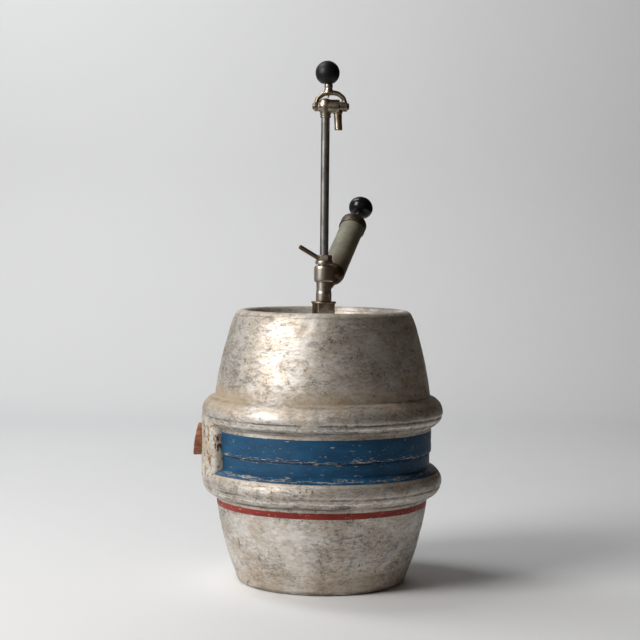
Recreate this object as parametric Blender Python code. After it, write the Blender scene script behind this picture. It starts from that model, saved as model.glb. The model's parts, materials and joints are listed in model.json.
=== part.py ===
"""Aluminium beer keg with a side bung and a hand-pump picnic tap. Metres, +Z up.

The origin is the middle of the whole object's box, on the surface that the keg stands on.  The
keg's axis stands a little to its +X side, because the bung sticks out towards -X.  The front of the
keg faces -Y, and the pump leans towards +X and +Y.  The functions below build round the keg's axis,
and main() moves the result to the origin.
"""
import math

import bmesh
import bpy
from mathutils import Matrix, Vector

# ---------------------------------------------------------------- driving dimensions
GAP = 0.0003                    # clearance between pieces that touch
MERGE = 0.000001
KEG_AXIS_X = 0.0063             # place of the keg's axis

WALL = 0.0035                   # thickness of the keg's drawn shells
KEG_STEPS = 32                  # facets round the keg
SEAM_Z = 0.2100                 # girth weld that joins the two half shells
SEAM_GAP = 0.0024
LOWER_WALL_R = 0.1728           # wall just below and just above the seam
UPPER_WALL_R = 0.1752
LOWER_ROOT_R = 0.1706           # wall under the lower ring
UPPER_ROOT_R = 0.1728           # wall over the upper ring
LOWER_RING = (0.1640, 0.0235, 0.1928)   # rolling ring: height of crest, half height, crest radius
UPPER_RING = (0.2735, 0.0218, 0.1940)
RIM_TOP = 0.4350
NECK_HOLE_R = 0.0295
NECK_BORE_R = 0.0165

BUNG_Z = 0.2252
BUNG_R = 0.0258
BUNG_LOW_END = -0.2067          # x of the sawn end's lowest and highest points
BUNG_HIGH_END = -0.1993
BOSS_FACE_R = 0.1938
BOSS_ANGLES = (-26.5, -22.5, -11.25, 0.0, 11.25, 22.5, 26.5)    # on the shells' facets but for the ends
BOSS_NECK_R = 0.0330
BOSS_INNER_X = 0.1600

ROUND = 20                      # facets round a small turned piece
ROD_R = 0.0069
ROD_BORE_R = 0.0045
ROD_BOTTOM = 0.0320
ROD_TOP = 0.7500
FOOT_BOTTOM = 0.0174

LIP_R = 0.0200
LIP_BOTTOM = 0.4438
LIP_TOP = 0.4480
SQUARE_SIDE = 0.0300
SQUARE_TURN = math.radians(19)
SQUARE_BOTTOM = 0.4170
TAP_BORE_R = 0.0086
TAP_R = 0.0125
SPIGOT_R = 0.0112
SPIGOT_BOTTOM = 0.4360
SLEEVE_R = 0.0155
SLEEVE_BOTTOM = 0.4788
SLEEVE_TOP = 0.5054
PACKING_R = 0.0100
PACKING_BOTTOM = 0.4860
PACKING_TOP = 0.4960

GLAND_FLANGE_R = 0.01375
GLAND_BOTTOM = 0.5070
GLAND_SHOULDER = 0.5135
GLAND_TOP = 0.5220
GLAND_BOSS_R = 0.0125
GLAND_BORE_R = 0.0073
LEVER_R = 0.0034
LEVER_ROOT = Vector((-0.0095, -0.0045, 0.5172))
LEVER_TIP = Vector((-0.0387, -0.0200, 0.5350))

PUMP_ORIGIN = Vector((-0.0022, 0.0, 0.4556))    # where the pump's axis passes the tap's axis
PUMP_DIRECTION = Vector((0.270, 0.745, 0.610)).normalized()
BRANCH_R = 0.0110
BRANCH_NECK_R = 0.0084          # the branch is slim where it passes under the sleeve
BRANCH_END = 0.0440
VALVE_SEAT = 0.0390
TUBE_R = 0.0200
TUBE_BORE_R = 0.0182
TUBE_BOTTOM = 0.0640
TUBE_TOP = 0.1880
CAP_R = 0.0222
CAP_BOTTOM = 0.1771
CAP_TOP = 0.1969
PLUNGER_R = 0.0032
PISTON_Z = 0.0800
PLUNGER_TOP = 0.2285
PUMP_KNOB_Z = 0.2388
PUMP_KNOB_R = 0.0207
PUMP_KNOB_HALF = 0.0172

PIVOT = Vector((0.0060, 0.0, 0.7586))           # handle's hinge, on the valve barrel's axis
HUB_R = 0.0113
HUB_BOTTOM = 0.7433
COLLAR_R = 0.0088
COLLAR_BOTTOM = 0.7408
BARREL_R = 0.0112
BARREL_ENDS = (-0.0115, 0.0225)
PLUG_R = 0.0068
SPOUT_X = 0.0195
SPOUT_R = 0.0063
SPOUT_BORE_R = 0.0042
SPOUT_BOTTOM = 0.7210
YOKE_ENDS = (-0.0180, 0.0342)                   # outer faces of the yoke's two bosses
YOKE_BOSS_R = 0.0082
YOKE_HALF_DEPTH = 0.0040
YOKE_STRAP = 0.0046
YOKE_LEG = 0.0085                               # straight height of the yoke's arms above the hinge
YOKE_CROWN_Z = 0.7845
NECK_TOP_Z = 0.7945
BALL_R = 0.0193
BALL_CENTRE = Vector((0.0026, 0.0, 0.8116))

ALUMINIUM = ((0.56, 0.54, 0.50), 1.0, 0.45)
NICKEL = ((0.62, 0.56, 0.46), 1.0, 0.30)
BRASS = ((0.17, 0.12, 0.08), 1.0, 0.45)
STEEL = ((0.24, 0.23, 0.22), 1.0, 0.42)
GREY_PAINT = ((0.33, 0.34, 0.29), 0.4, 0.55)
WOOD = ((0.28, 0.10, 0.045), 0.0, 0.80)
BLACK = ((0.010, 0.010, 0.012), 0.0, 0.35)
RUBBER = ((0.020, 0.018, 0.016), 0.0, 0.85)
LEATHER = ((0.16, 0.08, 0.04), 0.0, 0.75)


# ---------------------------------------------------------------- making solids
def lathe(profile, steps=ROUND, ring=True):
    """Body of revolution about +Z from (radius, height) points; a ring's profile closes on itself."""
    bm = bmesh.new()
    verts = [bm.verts.new((r, 0.0, z)) for r, z in profile]
    edges = [bm.edges.new(pair) for pair in zip(verts, verts[1:])]
    if ring:
        edges.append(bm.edges.new((verts[-1], verts[0])))
    bmesh.ops.spin(bm, geom=verts + edges, cent=(0, 0, 0), axis=(0, 0, 1),
                   angle=math.tau, steps=steps, use_merge=True)
    return closed(bm)


def closed(bm):
    """Weld coincident points and turn every face outwards."""
    bmesh.ops.remove_doubles(bm, verts=bm.verts, dist=MERGE)
    bmesh.ops.dissolve_degenerate(bm, edges=bm.edges, dist=MERGE)
    bmesh.ops.recalc_face_normals(bm, faces=bm.faces)
    return bm


def loft(rings):
    """Solid through a row of loops with the same number of points, capped at both ends."""
    bm = bmesh.new()
    loops = [[bm.verts.new(p) for p in ring] for ring in rings]
    count = len(loops[0])
    for low, high in zip(loops, loops[1:]):
        for i in range(count):
            j = (i + 1) % count
            bm.faces.new((low[i], low[j], high[j], high[i]))
    bm.faces.new(loops[0])
    bm.faces.new(loops[-1])
    return closed(bm)


def rod_between(start, end, radius, steps=ROUND):
    """Plain round bar between two points."""
    start, end = Vector(start), Vector(end)
    bm = bmesh.new()
    bmesh.ops.create_cone(bm, cap_ends=True, segments=steps, radius1=radius, radius2=radius,
                          depth=(end - start).length)
    turn = (end - start).to_track_quat("Z", "Y").to_matrix().to_4x4()
    bm.transform(Matrix.Translation((start + end) / 2) @ turn)
    return closed(bm)


def tube(inner, outer, bottom, top, steps=ROUND, chamfer=0.0):
    """Ring of rectangular section, with its outer corners cut off by the chamfer."""
    c = chamfer
    profile = [(inner, bottom), (outer - c, bottom)]
    if c:
        profile += [(outer, bottom + c), (outer, top - c)]
    else:
        profile += [(outer, top)]
    if c:
        profile += [(outer - c, top)]
    profile += [(inner, top)]
    return lathe(profile, steps)


def disc(outer, bottom, top, steps=ROUND, chamfer=0.0):
    """Solid round slab."""
    c = chamfer
    profile = [(0, bottom), (outer - c, bottom), (outer, bottom + c), (outer, top - c),
               (outer - c, top), (0, top)]
    return lathe(profile, steps, ring=False)


def ellipsoid(radius, half_height, centre_z, flat_z=None, steps=ROUND):
    """Turned ball, squashed along its axis and cut flat at the bottom."""
    rings = steps // 2
    profile = []
    for i in range(rings + 1):
        angle = math.pi * i / rings - math.pi / 2
        profile.append((max(0.0, radius * math.cos(angle)), centre_z + half_height * math.sin(angle)))
    if flat_z is not None:
        kept = [p for p in profile if p[1] > flat_z + 0.0005]
        share = (flat_z - centre_z) / half_height
        edge = radius * math.sqrt(1 - share * share)
        profile = [(0.0, flat_z), (edge, flat_z)] + kept
    return lathe(profile, steps, ring=False)


def slab(outline, low_y, high_y):
    """Flat plate of an (x, z) outline between two planes across Y."""
    return loft([[(x, y, z) for x, z in outline] for y in (low_y, high_y)])


def material(name, look):
    """Principled surface of one colour."""
    colour, metallic, roughness = look
    made = bpy.data.materials.new(name)
    made.use_nodes = True
    shader = made.node_tree.nodes["Principled BSDF"]
    shader.inputs["Base Color"].default_value = (*colour, 1.0)
    shader.inputs["Metallic"].default_value = metallic
    shader.inputs["Roughness"].default_value = roughness
    return made


def add(name, bm, look, parent=None):
    """Named sub-part, shaded smooth with its real corners kept sharp."""
    mesh = bpy.data.meshes.new(name)
    bm.to_mesh(mesh)
    bm.free()
    mesh.shade_smooth()
    mesh.set_sharp_from_angle(angle=math.radians(32))
    mesh.materials.append(material(name, look))
    piece = bpy.data.objects.new(name, mesh)
    bpy.context.scene.collection.objects.link(piece)
    piece.parent = parent
    return piece


def tool(name, bm, parent=None):
    """Solid that only shapes another piece."""
    mesh = bpy.data.meshes.new(name)
    bm.to_mesh(mesh)
    bm.free()
    piece = bpy.data.objects.new(name, mesh)
    bpy.context.scene.collection.objects.link(piece)
    piece.parent = parent
    piece.hide_render = True
    piece.display_type = "WIRE"
    return piece


def combine(piece, other, operation):
    """Boolean of the piece with a tool: DIFFERENCE cuts it, UNION adds it."""
    modifier = piece.modifiers.new(other.name, "BOOLEAN")
    modifier.operation = operation
    modifier.solver = "EXACT"
    modifier.object = other


def empty(name, location, direction=None):
    """Frame that moving pieces hang on, with +Z along their axis."""
    frame = bpy.data.objects.new(name, None)
    bpy.context.scene.collection.objects.link(frame)
    frame.location = location
    if direction is not None:
        frame.rotation_mode = "QUATERNION"
        frame.rotation_quaternion = direction.to_track_quat("Z", "Y")
    return frame


# ---------------------------------------------------------------- keg
def ring_arc(ring, low_r, high_r, steps=6):
    """Half-round rolling ring as (radius, height) points, from its lower to its upper root."""
    crest_z, half_height, crest_r = ring
    points = []
    for i in range(steps + 1):
        angle = math.pi * i / steps
        root = low_r if i <= steps / 2 else high_r
        height = math.sin(angle)
        points.append((root + (crest_r - root) * height, crest_z - half_height * math.cos(angle)))
    return points


def hollow_ring(ring, low_r, high_r):
    """Inside of a rolling ring, three points."""
    crest_z, half_height, crest_r = ring
    return [(low_r - WALL, crest_z - half_height), (crest_r - 1.6 * WALL, crest_z),
            (high_r - WALL, crest_z + half_height)]


def shell_lower():
    """Drawn lower half: recessed bottom, foot knuckle, barrel wall and lower rolling ring."""
    ring = ring_arc(LOWER_RING, LOWER_ROOT_R, LOWER_WALL_R)
    top = SEAM_Z - SEAM_GAP / 2
    outside = [(0.0, 0.0130), (0.0600, 0.0145), (0.1040, 0.0190), (0.1115, 0.0150),
               (0.1165, 0.0030), (0.1190, 0.0), (0.1285, 0.0), (0.1343, 0.0025),
               (0.1376, 0.0100), (0.1440, 0.0260), (0.1537, 0.0570), (0.1624, 0.0900),
               (0.1682, 0.1190)]
    inside = [(LOWER_WALL_R - WALL, top)]
    inside += reversed(hollow_ring(LOWER_RING, LOWER_ROOT_R, LOWER_WALL_R))
    inside += [(0.1589, 0.0900), (0.1502, 0.0570), (0.1406, 0.0270), (0.1336, 0.0110),
               (0.1283, 0.0045), (0.1207, 0.0045), (0.1150, 0.0182), (0.1045, 0.0226),
               (0.0600, 0.0180), (0.0, 0.0165)]
    profile = outside + ring + [(LOWER_WALL_R, top)] + inside
    return add("shell_lower", lathe(profile, KEG_STEPS, ring=False), ALUMINIUM)


def shell_upper():
    """Drawn upper half: barrel wall, upper rolling ring, rounded rim and recessed head."""
    ring = ring_arc(UPPER_RING, UPPER_WALL_R, UPPER_ROOT_R)
    bottom = SEAM_Z + SEAM_GAP / 2
    outside = [(0.1671, 0.3350), (0.1609, 0.3634), (0.1561, 0.3826), (0.1508, 0.4018),
               (0.1451, 0.4200), (0.1398, 0.4300), (0.1349, 0.4340), (0.1285, RIM_TOP),
               (0.1225, 0.4330), (0.1190, 0.4270), (0.1160, 0.4110), (0.1115, 0.4040),
               (0.1040, 0.4015), (NECK_HOLE_R, 0.4050)]
    inside = [(NECK_HOLE_R, 0.4015), (0.1045, 0.3980), (0.1138, 0.4010), (0.1193, 0.4095),
              (0.1225, 0.4260), (0.1290, 0.4315), (0.1358, 0.4272), (0.1416, 0.4180),
              (0.1473, 0.4018), (0.1526, 0.3826), (0.1574, 0.3634), (0.1636, 0.3350)]
    inside += reversed(hollow_ring(UPPER_RING, UPPER_WALL_R, UPPER_ROOT_R))
    inside += [(UPPER_WALL_R - WALL, bottom)]
    profile = [(UPPER_WALL_R, bottom)] + ring + outside + inside
    return add("shell_upper", lathe(profile, KEG_STEPS), ALUMINIUM)


def seam_weld():
    """Weld bead that fills the joint between the half shells."""
    half = SEAM_GAP / 2 - GAP
    bm = tube(LOWER_WALL_R - WALL, UPPER_WALL_R, SEAM_Z - half, SEAM_Z + half, KEG_STEPS)
    return add("seam_weld", bm, ALUMINIUM)


def along_bung(bm):
    """Move a solid built along +Z to the bung's axis, its +Z pointing out of the keg."""
    turn = Matrix.Rotation(math.radians(-90), 4, "Y")
    bm.transform(Matrix.Translation((0, 0, BUNG_Z)) @ turn)
    return bm


def bung_boss(shells):
    """Cast pad between the rolling rings, with a neck that passes through the wall."""
    clear = GAP + 0.0001
    low = ring_arc(LOWER_RING, LOWER_ROOT_R, LOWER_WALL_R)[4:]
    high = ring_arc(UPPER_RING, UPPER_WALL_R, UPPER_ROOT_R)[:3]
    wall = [(r + clear, z) for r, z in low]
    wall += [(LOWER_WALL_R + clear, SEAM_Z - SEAM_GAP / 2)]
    wall += [(UPPER_WALL_R + clear, SEAM_Z - SEAM_GAP / 2)]
    wall += [(r + clear, z) for r, z in high]
    outline = wall + [(BOSS_FACE_R, high[-1][1]), (BOSS_FACE_R, low[0][1])]
    rings = []
    for degrees in BOSS_ANGLES:
        angle = math.pi + math.radians(degrees)
        rings.append([(r * math.cos(angle), r * math.sin(angle), z) for r, z in outline])
    bm = loft(rings)
    round_flanks(bm)
    boss = add("bung_boss", bm, ALUMINIUM)
    neck = tool("boss_neck_tool", along_bung(disc(BOSS_NECK_R, BOSS_INNER_X, 0.1850, 32)))
    combine(boss, neck, "UNION")
    bore = lathe([(0, 0.1500), (BUNG_R - 0.0018, 0.1500), (BUNG_R + 0.0012, 0.2100), (0, 0.2100)],
                 32, ring=False)
    combine(boss, tool("boss_bore_tool", along_bung(bore)), "DIFFERENCE")
    hole = disc(BOSS_NECK_R + 0.0010, 0.1400, 0.2000, 30)
    opening = tool("boss_opening_tool", along_bung(hole))
    for shell in shells:
        combine(shell, opening, "DIFFERENCE")


def round_flanks(bm):
    """Round the pad's two outer upright edges."""
    edges = []
    for edge in bm.edges:
        a, b = edge.verts
        flank = all(abs(math.hypot(v.co.x, v.co.y) - BOSS_FACE_R) < MERGE * 10 for v in (a, b))
        at_end = abs(abs(a.co.y) - BOSS_FACE_R * math.sin(math.radians(BOSS_ANGLES[-1]))) < MERGE * 100
        if flank and at_end and abs(a.co.z - b.co.z) > 0.01:
            edges.append(edge)
    bmesh.ops.bevel(bm, geom=edges, offset=0.0070, segments=3, profile=0.5, affect="EDGES")
    closed(bm)


def wooden_bung():
    """Tapered wooden plug, its outer end sawn off at a slant."""
    taper = 0.0015 / 0.0300
    inner, outer = 0.1620, 0.2100

    def radius(distance):
        return BUNG_R - 0.0018 - GAP + (distance - 0.1500) * taper

    bm = lathe([(0, inner), (radius(inner) - 0.001, inner), (radius(inner + 0.001), inner + 0.001),
                (radius(outer), outer), (0, outer)], 32, ring=False)
    along_bung(bm)
    low_end = Vector((BUNG_LOW_END, 0, BUNG_Z - BUNG_R))
    high_end = Vector((BUNG_HIGH_END, 0, BUNG_Z + BUNG_R))
    normal = (high_end - low_end).cross(Vector((0, 1, 0))).normalized()
    if normal.x > 0:
        normal = -normal
    cut = bmesh.ops.bisect_plane(bm, geom=bm.verts[:] + bm.edges[:] + bm.faces[:], plane_co=low_end,
                                 plane_no=normal, clear_outer=True)
    rim = [e for e in cut["geom_cut"] if isinstance(e, bmesh.types.BMEdge)]
    bmesh.ops.edgeloop_fill(bm, edges=rim)
    add("wooden_bung", closed(bm), WOOD)


def neck_bushing():
    """Threaded bushing welded into the head, which the tap goes into."""
    bm = lathe([(NECK_BORE_R, 0.3900), (NECK_HOLE_R - GAP, 0.3900), (NECK_HOLE_R - GAP, 0.4055),
                (NECK_HOLE_R - GAP, 0.4120), (NECK_HOLE_R - 0.0022, 0.4140), (NECK_BORE_R, 0.4140)], 32)
    add("neck_bushing", bm, ALUMINIUM)


def neck_gasket():
    """Rubber washer between the bushing and the tap's square."""
    add("neck_gasket", tube(0.0168, 0.0250, 0.4140 + GAP, SQUARE_BOTTOM - GAP), RUBBER)


# ---------------------------------------------------------------- tap
def rounded_square(side, corner, turn, z):
    """Loop of a square with cut-off corners."""
    half = side / 2
    points = []
    for i in range(4):
        angle = math.pi / 2 * i
        for u, v in ((half, -half + corner), (half, half - corner)):
            x = u * math.cos(angle + turn) - v * math.sin(angle + turn)
            y = u * math.sin(angle + turn) + v * math.cos(angle + turn)
            points.append((x, y, z))
    return points


def tap_base():
    """Foot of the tap: stem, wrench square and lip."""
    square = loft([rounded_square(SQUARE_SIDE, 0.0040, SQUARE_TURN, z)
                   for z in (SQUARE_BOTTOM, LIP_BOTTOM + 0.0010)])
    base = add("tap_base", square, NICKEL)
    combine(base, tool("lip_tool", disc(LIP_R, LIP_BOTTOM, LIP_TOP, 28, 0.0008)), "UNION")
    combine(base, tool("stem_tool", disc(NECK_BORE_R - 0.0006, 0.3850, SQUARE_BOTTOM + 0.001)), "UNION")
    bore = lathe([(0, 0.3800), (TAP_BORE_R, 0.3800), (TAP_BORE_R, SPIGOT_BOTTOM - GAP),
                  (SPIGOT_R + GAP, SPIGOT_BOTTOM - GAP), (SPIGOT_R + GAP, 0.4500), (0, 0.4500)],
                 ring=False)
    combine(base, tool("base_bore_tool", bore), "DIFFERENCE")


def tap_body(pump):
    """Casting round the rod, with the branch that carries the pump."""
    low = LIP_TOP + GAP
    profile = [(0, SPIGOT_BOTTOM), (SPIGOT_R, SPIGOT_BOTTOM), (SPIGOT_R, low), (TAP_R, low),
               (TAP_R, 0.4640), (TAP_R - 0.0006, 0.4655), (TAP_R - 0.0006, 0.5030), (0, 0.5030)]
    body = add("tap_body", lathe(profile, ring=False), NICKEL)
    branch = lathe([(0, 0.0035), (BRANCH_NECK_R - 0.0010, 0.0035), (BRANCH_NECK_R, 0.0262),
                    (BRANCH_R, 0.0345), (BRANCH_R, BRANCH_END), (0, BRANCH_END)], 22, ring=False)
    combine(body, tool("branch_tool", branch, pump), "UNION")
    bore = lathe([(0, 0.4300), (TAP_BORE_R - 0.0006, 0.4300), (TAP_BORE_R - 0.0006, PACKING_BOTTOM - GAP),
                  (PACKING_R + GAP, PACKING_BOTTOM - GAP), (PACKING_R + GAP, 0.5100), (0, 0.5100)],
                 ring=False)
    combine(body, tool("rod_bore_tool", bore), "DIFFERENCE")
    air = lathe([(0, 0.004), (0.0030, 0.004), (0.0030, VALVE_SEAT - 0.0030), (0.0051, VALVE_SEAT - 0.0030),
                 (0.0051, VALVE_SEAT), (0.0062, VALVE_SEAT), (0.0062, 0.0480), (0, 0.0480)], 24, ring=False)
    combine(body, tool("air_bore_tool", air, pump), "DIFFERENCE")


def union_sleeve():
    """Bright collar round the top of the tap body."""
    bm = tube(TAP_R - 0.0006 + GAP, SLEEVE_R, SLEEVE_BOTTOM, SLEEVE_TOP, 24, 0.0014)
    add("union_sleeve", bm, NICKEL)


def packing():
    """Rubber packing and metal washer that seal the rod."""
    add("rod_packing", tube(ROD_R + 0.0004, PACKING_R, PACKING_BOTTOM, PACKING_TOP), RUBBER)
    add("gland_washer", tube(ROD_R + 0.0006, PACKING_R, PACKING_TOP + GAP, PACKING_TOP + 0.0015), BRASS)


def gland():
    """Nut that squeezes the packing, and the bar that turns it."""
    profile = [(GLAND_BORE_R, PACKING_TOP + 0.0018), (PACKING_R - 0.0002, PACKING_TOP + 0.0018),
               (PACKING_R - 0.0002, GLAND_BOTTOM), (GLAND_FLANGE_R, GLAND_BOTTOM),
               (GLAND_FLANGE_R, GLAND_SHOULDER - 0.0006), (GLAND_FLANGE_R - 0.0006, GLAND_SHOULDER),
               (GLAND_BOSS_R, GLAND_SHOULDER), (GLAND_BOSS_R, GLAND_TOP - 0.0008),
               (GLAND_BOSS_R - 0.0008, GLAND_TOP), (GLAND_BORE_R, GLAND_TOP)]
    nut = add("gland_nut", lathe(profile), NICKEL)
    along = (LEVER_TIP - LEVER_ROOT).normalized()
    hole = rod_between(LEVER_ROOT - along * GAP, LEVER_ROOT + along * 0.012, LEVER_R + GAP)
    combine(nut, tool("lever_hole_tool", hole), "DIFFERENCE")
    add("gland_lever", rod_between(LEVER_ROOT, LEVER_TIP, LEVER_R), NICKEL)


def beer_rod():
    """Long steel tube that draws beer from the keg's bottom, with its foot and top collar."""
    add("beer_rod", tube(ROD_BORE_R, ROD_R, ROD_BOTTOM, ROD_TOP), STEEL)
    foot = lathe([(ROD_BORE_R, FOOT_BOTTOM), (0.0072, FOOT_BOTTOM), (0.0084, FOOT_BOTTOM + 0.0015),
                  (0.0084, ROD_BOTTOM + 0.0100), (ROD_R + GAP, ROD_BOTTOM + 0.0100),
                  (ROD_R + GAP, ROD_BOTTOM - GAP), (ROD_BORE_R, ROD_BOTTOM - GAP)])
    strainer = add("rod_foot", foot, BRASS)
    for i in range(2):
        slot = bmesh.new()
        bmesh.ops.create_cube(slot, size=1.0)
        bmesh.ops.scale(slot, vec=(0.0300, 0.0022, 0.0080), verts=slot.verts)
        turn = Matrix.Rotation(i * math.pi / 2, 4, "Z")
        slot.transform(Matrix.Translation((0, 0, FOOT_BOTTOM + 0.0030)) @ turn)
        combine(strainer, tool(f"foot_slot_tool_{i}", slot), "DIFFERENCE")
    add("rod_collar", tube(ROD_R + GAP, COLLAR_R, COLLAR_BOTTOM, HUB_BOTTOM - GAP, ROUND, 0.0004), NICKEL)


# ---------------------------------------------------------------- faucet
def along_barrel(bm):
    """Turn a solid built along +Z to lie along +X at the handle's hinge height."""
    bm.transform(Matrix.Translation((0, 0, PIVOT.z)) @ Matrix.Rotation(math.radians(90), 4, "Y"))
    return bm


def faucet_body():
    """Hub on the rod with the valve barrel across it."""
    hub = [(0, HUB_BOTTOM), (0.0083, HUB_BOTTOM), (0.0088, 0.7485), (0.0104, 0.7535), (HUB_R, 0.7586),
           (0.0109, 0.7630), (0.0095, 0.7675), (0.0066, 0.7702), (0.0030, 0.7712), (0, 0.7713)]
    body = add("faucet_body", lathe(hub, ring=False), NICKEL)
    low_x, high_x = BARREL_ENDS
    barrel = tool("barrel_tool", along_barrel(disc(BARREL_R, -0.0040, high_x, 28, 0.0008)))
    combine(body, barrel, "UNION")
    boss = tool("hub_face_tool", along_barrel(disc(0.0086, low_x, -0.0020, 20)))
    combine(body, boss, "UNION")
    plug_bore = tool("plug_bore_tool", along_barrel(disc(PLUG_R + GAP, -0.0200, 0.0300, 24)))
    combine(body, plug_bore, "DIFFERENCE")
    socket = lathe([(0, 0.7400), (ROD_R + GAP, 0.7400), (ROD_R + GAP, ROD_TOP + GAP),
                    (0.0035, ROD_TOP + GAP), (0.0035, 0.7560), (0, 0.7560)], ring=False)
    combine(body, tool("socket_tool", socket), "DIFFERENCE")
    seat = disc(SPOUT_R + GAP, 0.7300, 0.7505, 24)
    seat.transform(Matrix.Translation((SPOUT_X, 0, 0)))
    seat_hole = disc(SPOUT_BORE_R - 0.0010, 0.7450, 0.7560, 24)
    seat_hole.transform(Matrix.Translation((SPOUT_X, 0, 0)))
    combine(body, tool("spout_seat_tool", seat), "DIFFERENCE")
    combine(body, tool("spout_hole_tool", seat_hole), "DIFFERENCE")


def spout():
    """Short pouring tube screwed into the barrel's underside."""
    bm = tube(SPOUT_BORE_R, SPOUT_R, SPOUT_BOTTOM, 0.7502)
    bm.transform(Matrix.Translation((SPOUT_X, 0, 0)))
    add("spout", bm, NICKEL)


def valve_plug(handle):
    """Hollow plug that turns in the barrel; cross holes let beer in above the rod and out at the spout."""
    low_x, high_x = BARREL_ENDS
    bm = disc(PLUG_R, low_x - PIVOT.x, high_x - PIVOT.x)
    bm.transform(Matrix.Rotation(math.radians(90), 4, "Y"))
    plug = add("valve_plug", bm, BRASS, handle)
    drill = rod_between((-0.0110, 0, 0), (0.0300, 0, 0), 0.0030, 18)
    combine(plug, tool("plug_drill_tool", drill, handle), "DIFFERENCE")
    for i, x in enumerate((-PIVOT.x, SPOUT_X - PIVOT.x)):
        port = rod_between((x, 0.0007, 0), (x, 0.0100, 0), 0.0024, 14)
        combine(plug, tool(f"plug_port_tool_{i}", port, handle), "DIFFERENCE")


def arch(width, height, leg, steps=14):
    """Upright legs under the upper half of an ellipse, as (x, z) points from +x to -x."""
    points = [(width, 0.0)]
    for i in range(steps + 1):
        angle = math.pi * i / steps
        points.append((width * math.cos(angle), leg + (height - leg) * math.sin(angle)))
    return points + [(-width, 0.0)]


def yoke(handle):
    """Arched strap over the hub, with a boss at each end and the neck that carries the ball."""
    low_x, high_x = (x - PIVOT.x for x in YOKE_ENDS)
    centre = (low_x + high_x) / 2
    half = (high_x - low_x) / 2 - 0.0015
    crown = YOKE_CROWN_Z - PIVOT.z
    outer = [(centre + x, z) for x, z in arch(half, crown, YOKE_LEG)]
    inner = [(centre + x, z) for x, z in arch(half - YOKE_STRAP, crown - YOKE_STRAP, YOKE_LEG)]
    strap = add("yoke", slab(outer + inner[::-1], -YOKE_HALF_DEPTH, YOKE_HALF_DEPTH), NICKEL, handle)
    ends = ((low_x, BARREL_ENDS[0] - PIVOT.x - GAP), (BARREL_ENDS[1] - PIVOT.x + GAP, high_x))
    for i, (a, b) in enumerate(ends):
        boss = rod_between((a, 0, 0), (b, 0, 0), YOKE_BOSS_R)
        combine(strap, tool(f"yoke_boss_tool_{i}", boss, handle), "UNION")
    neck = lathe([(0, crown - 0.0025), (0.0068, crown - 0.0025), (0.0058, crown + 0.0030),
                  (0.0064, crown + 0.0055), (0.0064, NECK_TOP_Z - PIVOT.z), (0, NECK_TOP_Z - PIVOT.z)],
                 ring=False)
    neck.transform(Matrix.Translation((-0.0010, 0, 0)))
    combine(strap, tool("yoke_neck_tool", neck, handle), "UNION")
    finger = rod_between((-0.0006, 0, crown), (-0.0024, 0, 0.0142), 0.0018, 12)
    combine(strap, tool("yoke_finger_tool", finger, handle), "UNION")
    for i, (a, b) in enumerate(ends):
        hole = rod_between((a - 0.002, 0, 0), (b + 0.002, 0, 0), 0.0028)
        combine(strap, tool(f"yoke_hole_tool_{i}", hole, handle), "DIFFERENCE")


def yoke_screws(handle):
    """Two screws that clamp the yoke's bosses to the plug."""
    low_x, high_x = (x - PIVOT.x for x in YOKE_ENDS)
    shank_ends = (BARREL_ENDS[0] - PIVOT.x - GAP, BARREL_ENDS[1] - PIVOT.x - 0.0060)
    for name, face, end, out in (("yoke_screw_left", low_x, shank_ends[0], -1),
                                 ("yoke_screw_right", high_x, shank_ends[1], 1)):
        length = abs(end - face)
        bm = lathe([(0, -length), (0.0025, -length), (0.0025, GAP), (0.0052, GAP), (0.0052, 0.0018),
                    (0.0038, 0.0030), (0, 0.0034)], ring=False)
        turn = Matrix.Rotation(math.radians(90 * out), 4, "Y")
        bm.transform(Matrix.Translation((face, 0, 0)) @ turn)
        add(name, bm, BRASS, handle)


def ball_knob(handle):
    """Black ball screwed on the yoke's neck."""
    centre = BALL_CENTRE - PIVOT
    bm = ellipsoid(BALL_R, BALL_R, 0.0, NECK_TOP_Z - PIVOT.z - centre.z + GAP)
    bm.transform(Matrix.Translation(centre))
    add("ball_knob", bm, BLACK, handle)


# ---------------------------------------------------------------- pump
def pump_base(pump):
    """Domed brass foot of the pump, with the seat of its check valve underneath."""
    low = BRANCH_END + GAP
    profile = [(0.0028, low), (0.0110, low), (0.0146, low + 0.0017), (0.0178, low + 0.0065),
               (0.0195, low + 0.0119), (0.0202, low + 0.0172), (0.0202, TUBE_BOTTOM - GAP),
               (TUBE_BORE_R - GAP, TUBE_BOTTOM - GAP), (TUBE_BORE_R - GAP, 0.0725),
               (0.0155, 0.0725), (0.0155, 0.0610), (0.0028, 0.0610)]
    add("pump_base", lathe(profile, 24), BRASS, pump)


def pump_tube(pump):
    """Barrel of the pump."""
    add("pump_tube", tube(TUBE_BORE_R, TUBE_R, TUBE_BOTTOM, TUBE_TOP, 24), GREY_PAINT, pump)


def pump_cap(pump):
    """Screw cap that guides the plunger."""
    profile = [(TUBE_R + GAP, CAP_BOTTOM), (CAP_R - 0.0012, CAP_BOTTOM), (CAP_R, CAP_BOTTOM + 0.0012),
               (CAP_R, CAP_TOP - 0.0025), (CAP_R - 0.0030, CAP_TOP), (0.0080, CAP_TOP + 0.0010),
               (0.0075, CAP_TOP + 0.0045), (PLUNGER_R + 0.0005, CAP_TOP + 0.0045),
               (PLUNGER_R + 0.0005, TUBE_TOP + GAP), (TUBE_R + GAP, TUBE_TOP + GAP)]
    add("pump_cap", lathe(profile, 24), BRASS, pump)


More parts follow.
